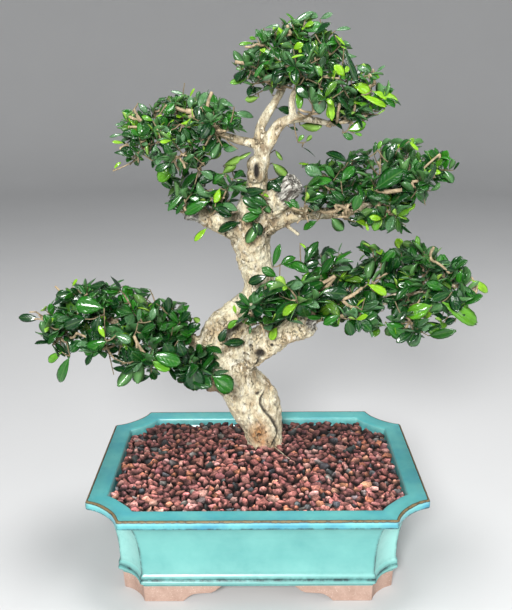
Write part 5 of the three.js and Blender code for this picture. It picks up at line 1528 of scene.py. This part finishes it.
for pad, sprays in SPRAYS.items():
    for number, (limb, share, *tip) in enumerate(sprays, 1):
        name = f"{pad}_{number:02d}"
        random = np.random.default_rng([number, len(pad), int(abs(tip[0]))])
        low, high = (np.array(corner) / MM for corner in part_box("spray_" + name))
        rods, leaves = grow_spray(random, pad, limb_point(limb, share), np.array(tip, float),
                                  low - PAST_LOW, high + PAST_HIGH)
        # A leaf goes where its middle or its tip would be in the wood or before wood that shows
        middles = np.array([start + (end - start) * reach for start, end, *_ in leaves for reach in (0.6, 1)])
        buried = (inside_wood(middles) | hides_bare_wood(middles)).reshape(-1, 2).any(axis=1)
        leaves = [leaf for leaf, hidden in zip(leaves, buried) if not hidden]
        add_lone_growth(random, name, rods, leaves)
        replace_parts(leafy_piece(random, "leaves_" + name, rods, leaves), "spray_" + name)

# The single leaves close to the trunk have no spray, so they make a piece of their own
rods, leaves = [], []
random = np.random.default_rng(77)
add_lone_growth(random, "trunk_shoots", rods, leaves)
leafy_piece(random, "trunk_shoots", rods, leaves)

# Surface root
# A thin pale root that has dried on top of the rock, from the foot of the trunk towards the front.
ROOT_LINE = [
    (15, 29, 100, 0.7), (18, 22, 100.6, 0.6), (23, 14, 100.2, 0.5), (27, 6, 100.4, 0.45), (31, 1, 99.4, 0.35),
]
root_corners, root_faces = rod(smooth_line(ROOT_LINE, 6), 6)
surface_root = new_piece("surface_root", root_corners, root_faces, bpy.data.materials["pale_bark"])
smooth(surface_root, 60)
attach(surface_root, "root")

# Floor, lights and camera
# A round pale floor that curves up into a wall far away on every side, a large soft light from the front and
# above, weaker ones from the right and from overhead, and the camera where the photograph was taken from.
floor_finish = new_finish("pale_floor", Roughness=0.9)
floor_cloud = grain(floor_finish, 3, 2)
finish_with(floor_finish, mix(floor_finish, floor_cloud, (0.60, 0.60, 0.60), (0.64, 0.64, 0.64)))
# How far from the middle the floor reaches at each height
FLOOR_EDGE = [(1, 0), (2400, 0), (2700, 50), (2920, 180), (3070, 380), (3150, 640), (3190, 960), (3200, 2300)]
FLOOR_SIDES = 96
angles = 2 * math.pi * np.arange(FLOOR_SIDES) / FLOOR_SIDES
floor_corners = [(r * math.cos(a), r * math.sin(a), z) for r, z in FLOOR_EDGE for a in angles]
floor_faces = bands(len(FLOOR_EDGE), FLOOR_SIDES) + [tuple(range(FLOOR_SIDES))]
floor = new_piece("floor", floor_corners, floor_faces, floor_finish)
smooth(floor, 80)

# Each light's place and what it points at, its width, all in metres, and its power in watts
LIGHTS = {
    "key": ((-0.25, -1.55, 1.0), (0, 0, 0.25), 0.5, 41.5),
    "fill": ((1.3, -0.9, 0.8), (0, 0, 0.25), 1.0, 8),
    "top": ((0.1, 0.1, 1.8), (0, 0, 0.3), 0.7, 19),
}
for name, (spot, target, width, power) in LIGHTS.items():
    lamp = bpy.data.lights.new(name, "AREA")
    lamp.shape = "DISK"
    lamp.size = width
    lamp.energy = power
    holder = bpy.data.objects.new(name, lamp)
    holder.location = spot
    holder.rotation_euler = (Vector(spot) - Vector(target)).to_track_quat("Z", "Y").to_euler()
    bpy.context.scene.collection.objects.link(holder)

# A faint, slightly blue light from everywhere
world = bpy.data.worlds.new("studio")
bpy.context.scene.world = world
world.use_nodes = True
world.node_tree.nodes["Background"].inputs["Color"].default_value = (0.9, 0.95, 1, 1)
world.node_tree.nodes["Background"].inputs["Strength"].default_value = 0.18
bpy.context.scene.view_settings.view_transform = "Standard"

camera = bpy.data.objects.new("camera", bpy.data.cameras.new("camera"))
camera.data.sensor_width = CAMERA_SENSOR
camera.data.lens = CAMERA_LENS
camera.matrix_world = Matrix.Translation(Vector(CAMERA_SPOT) * MM) @ camera_turn().to_4x4()
bpy.context.scene.collection.objects.link(camera)
bpy.context.scene.camera = camera
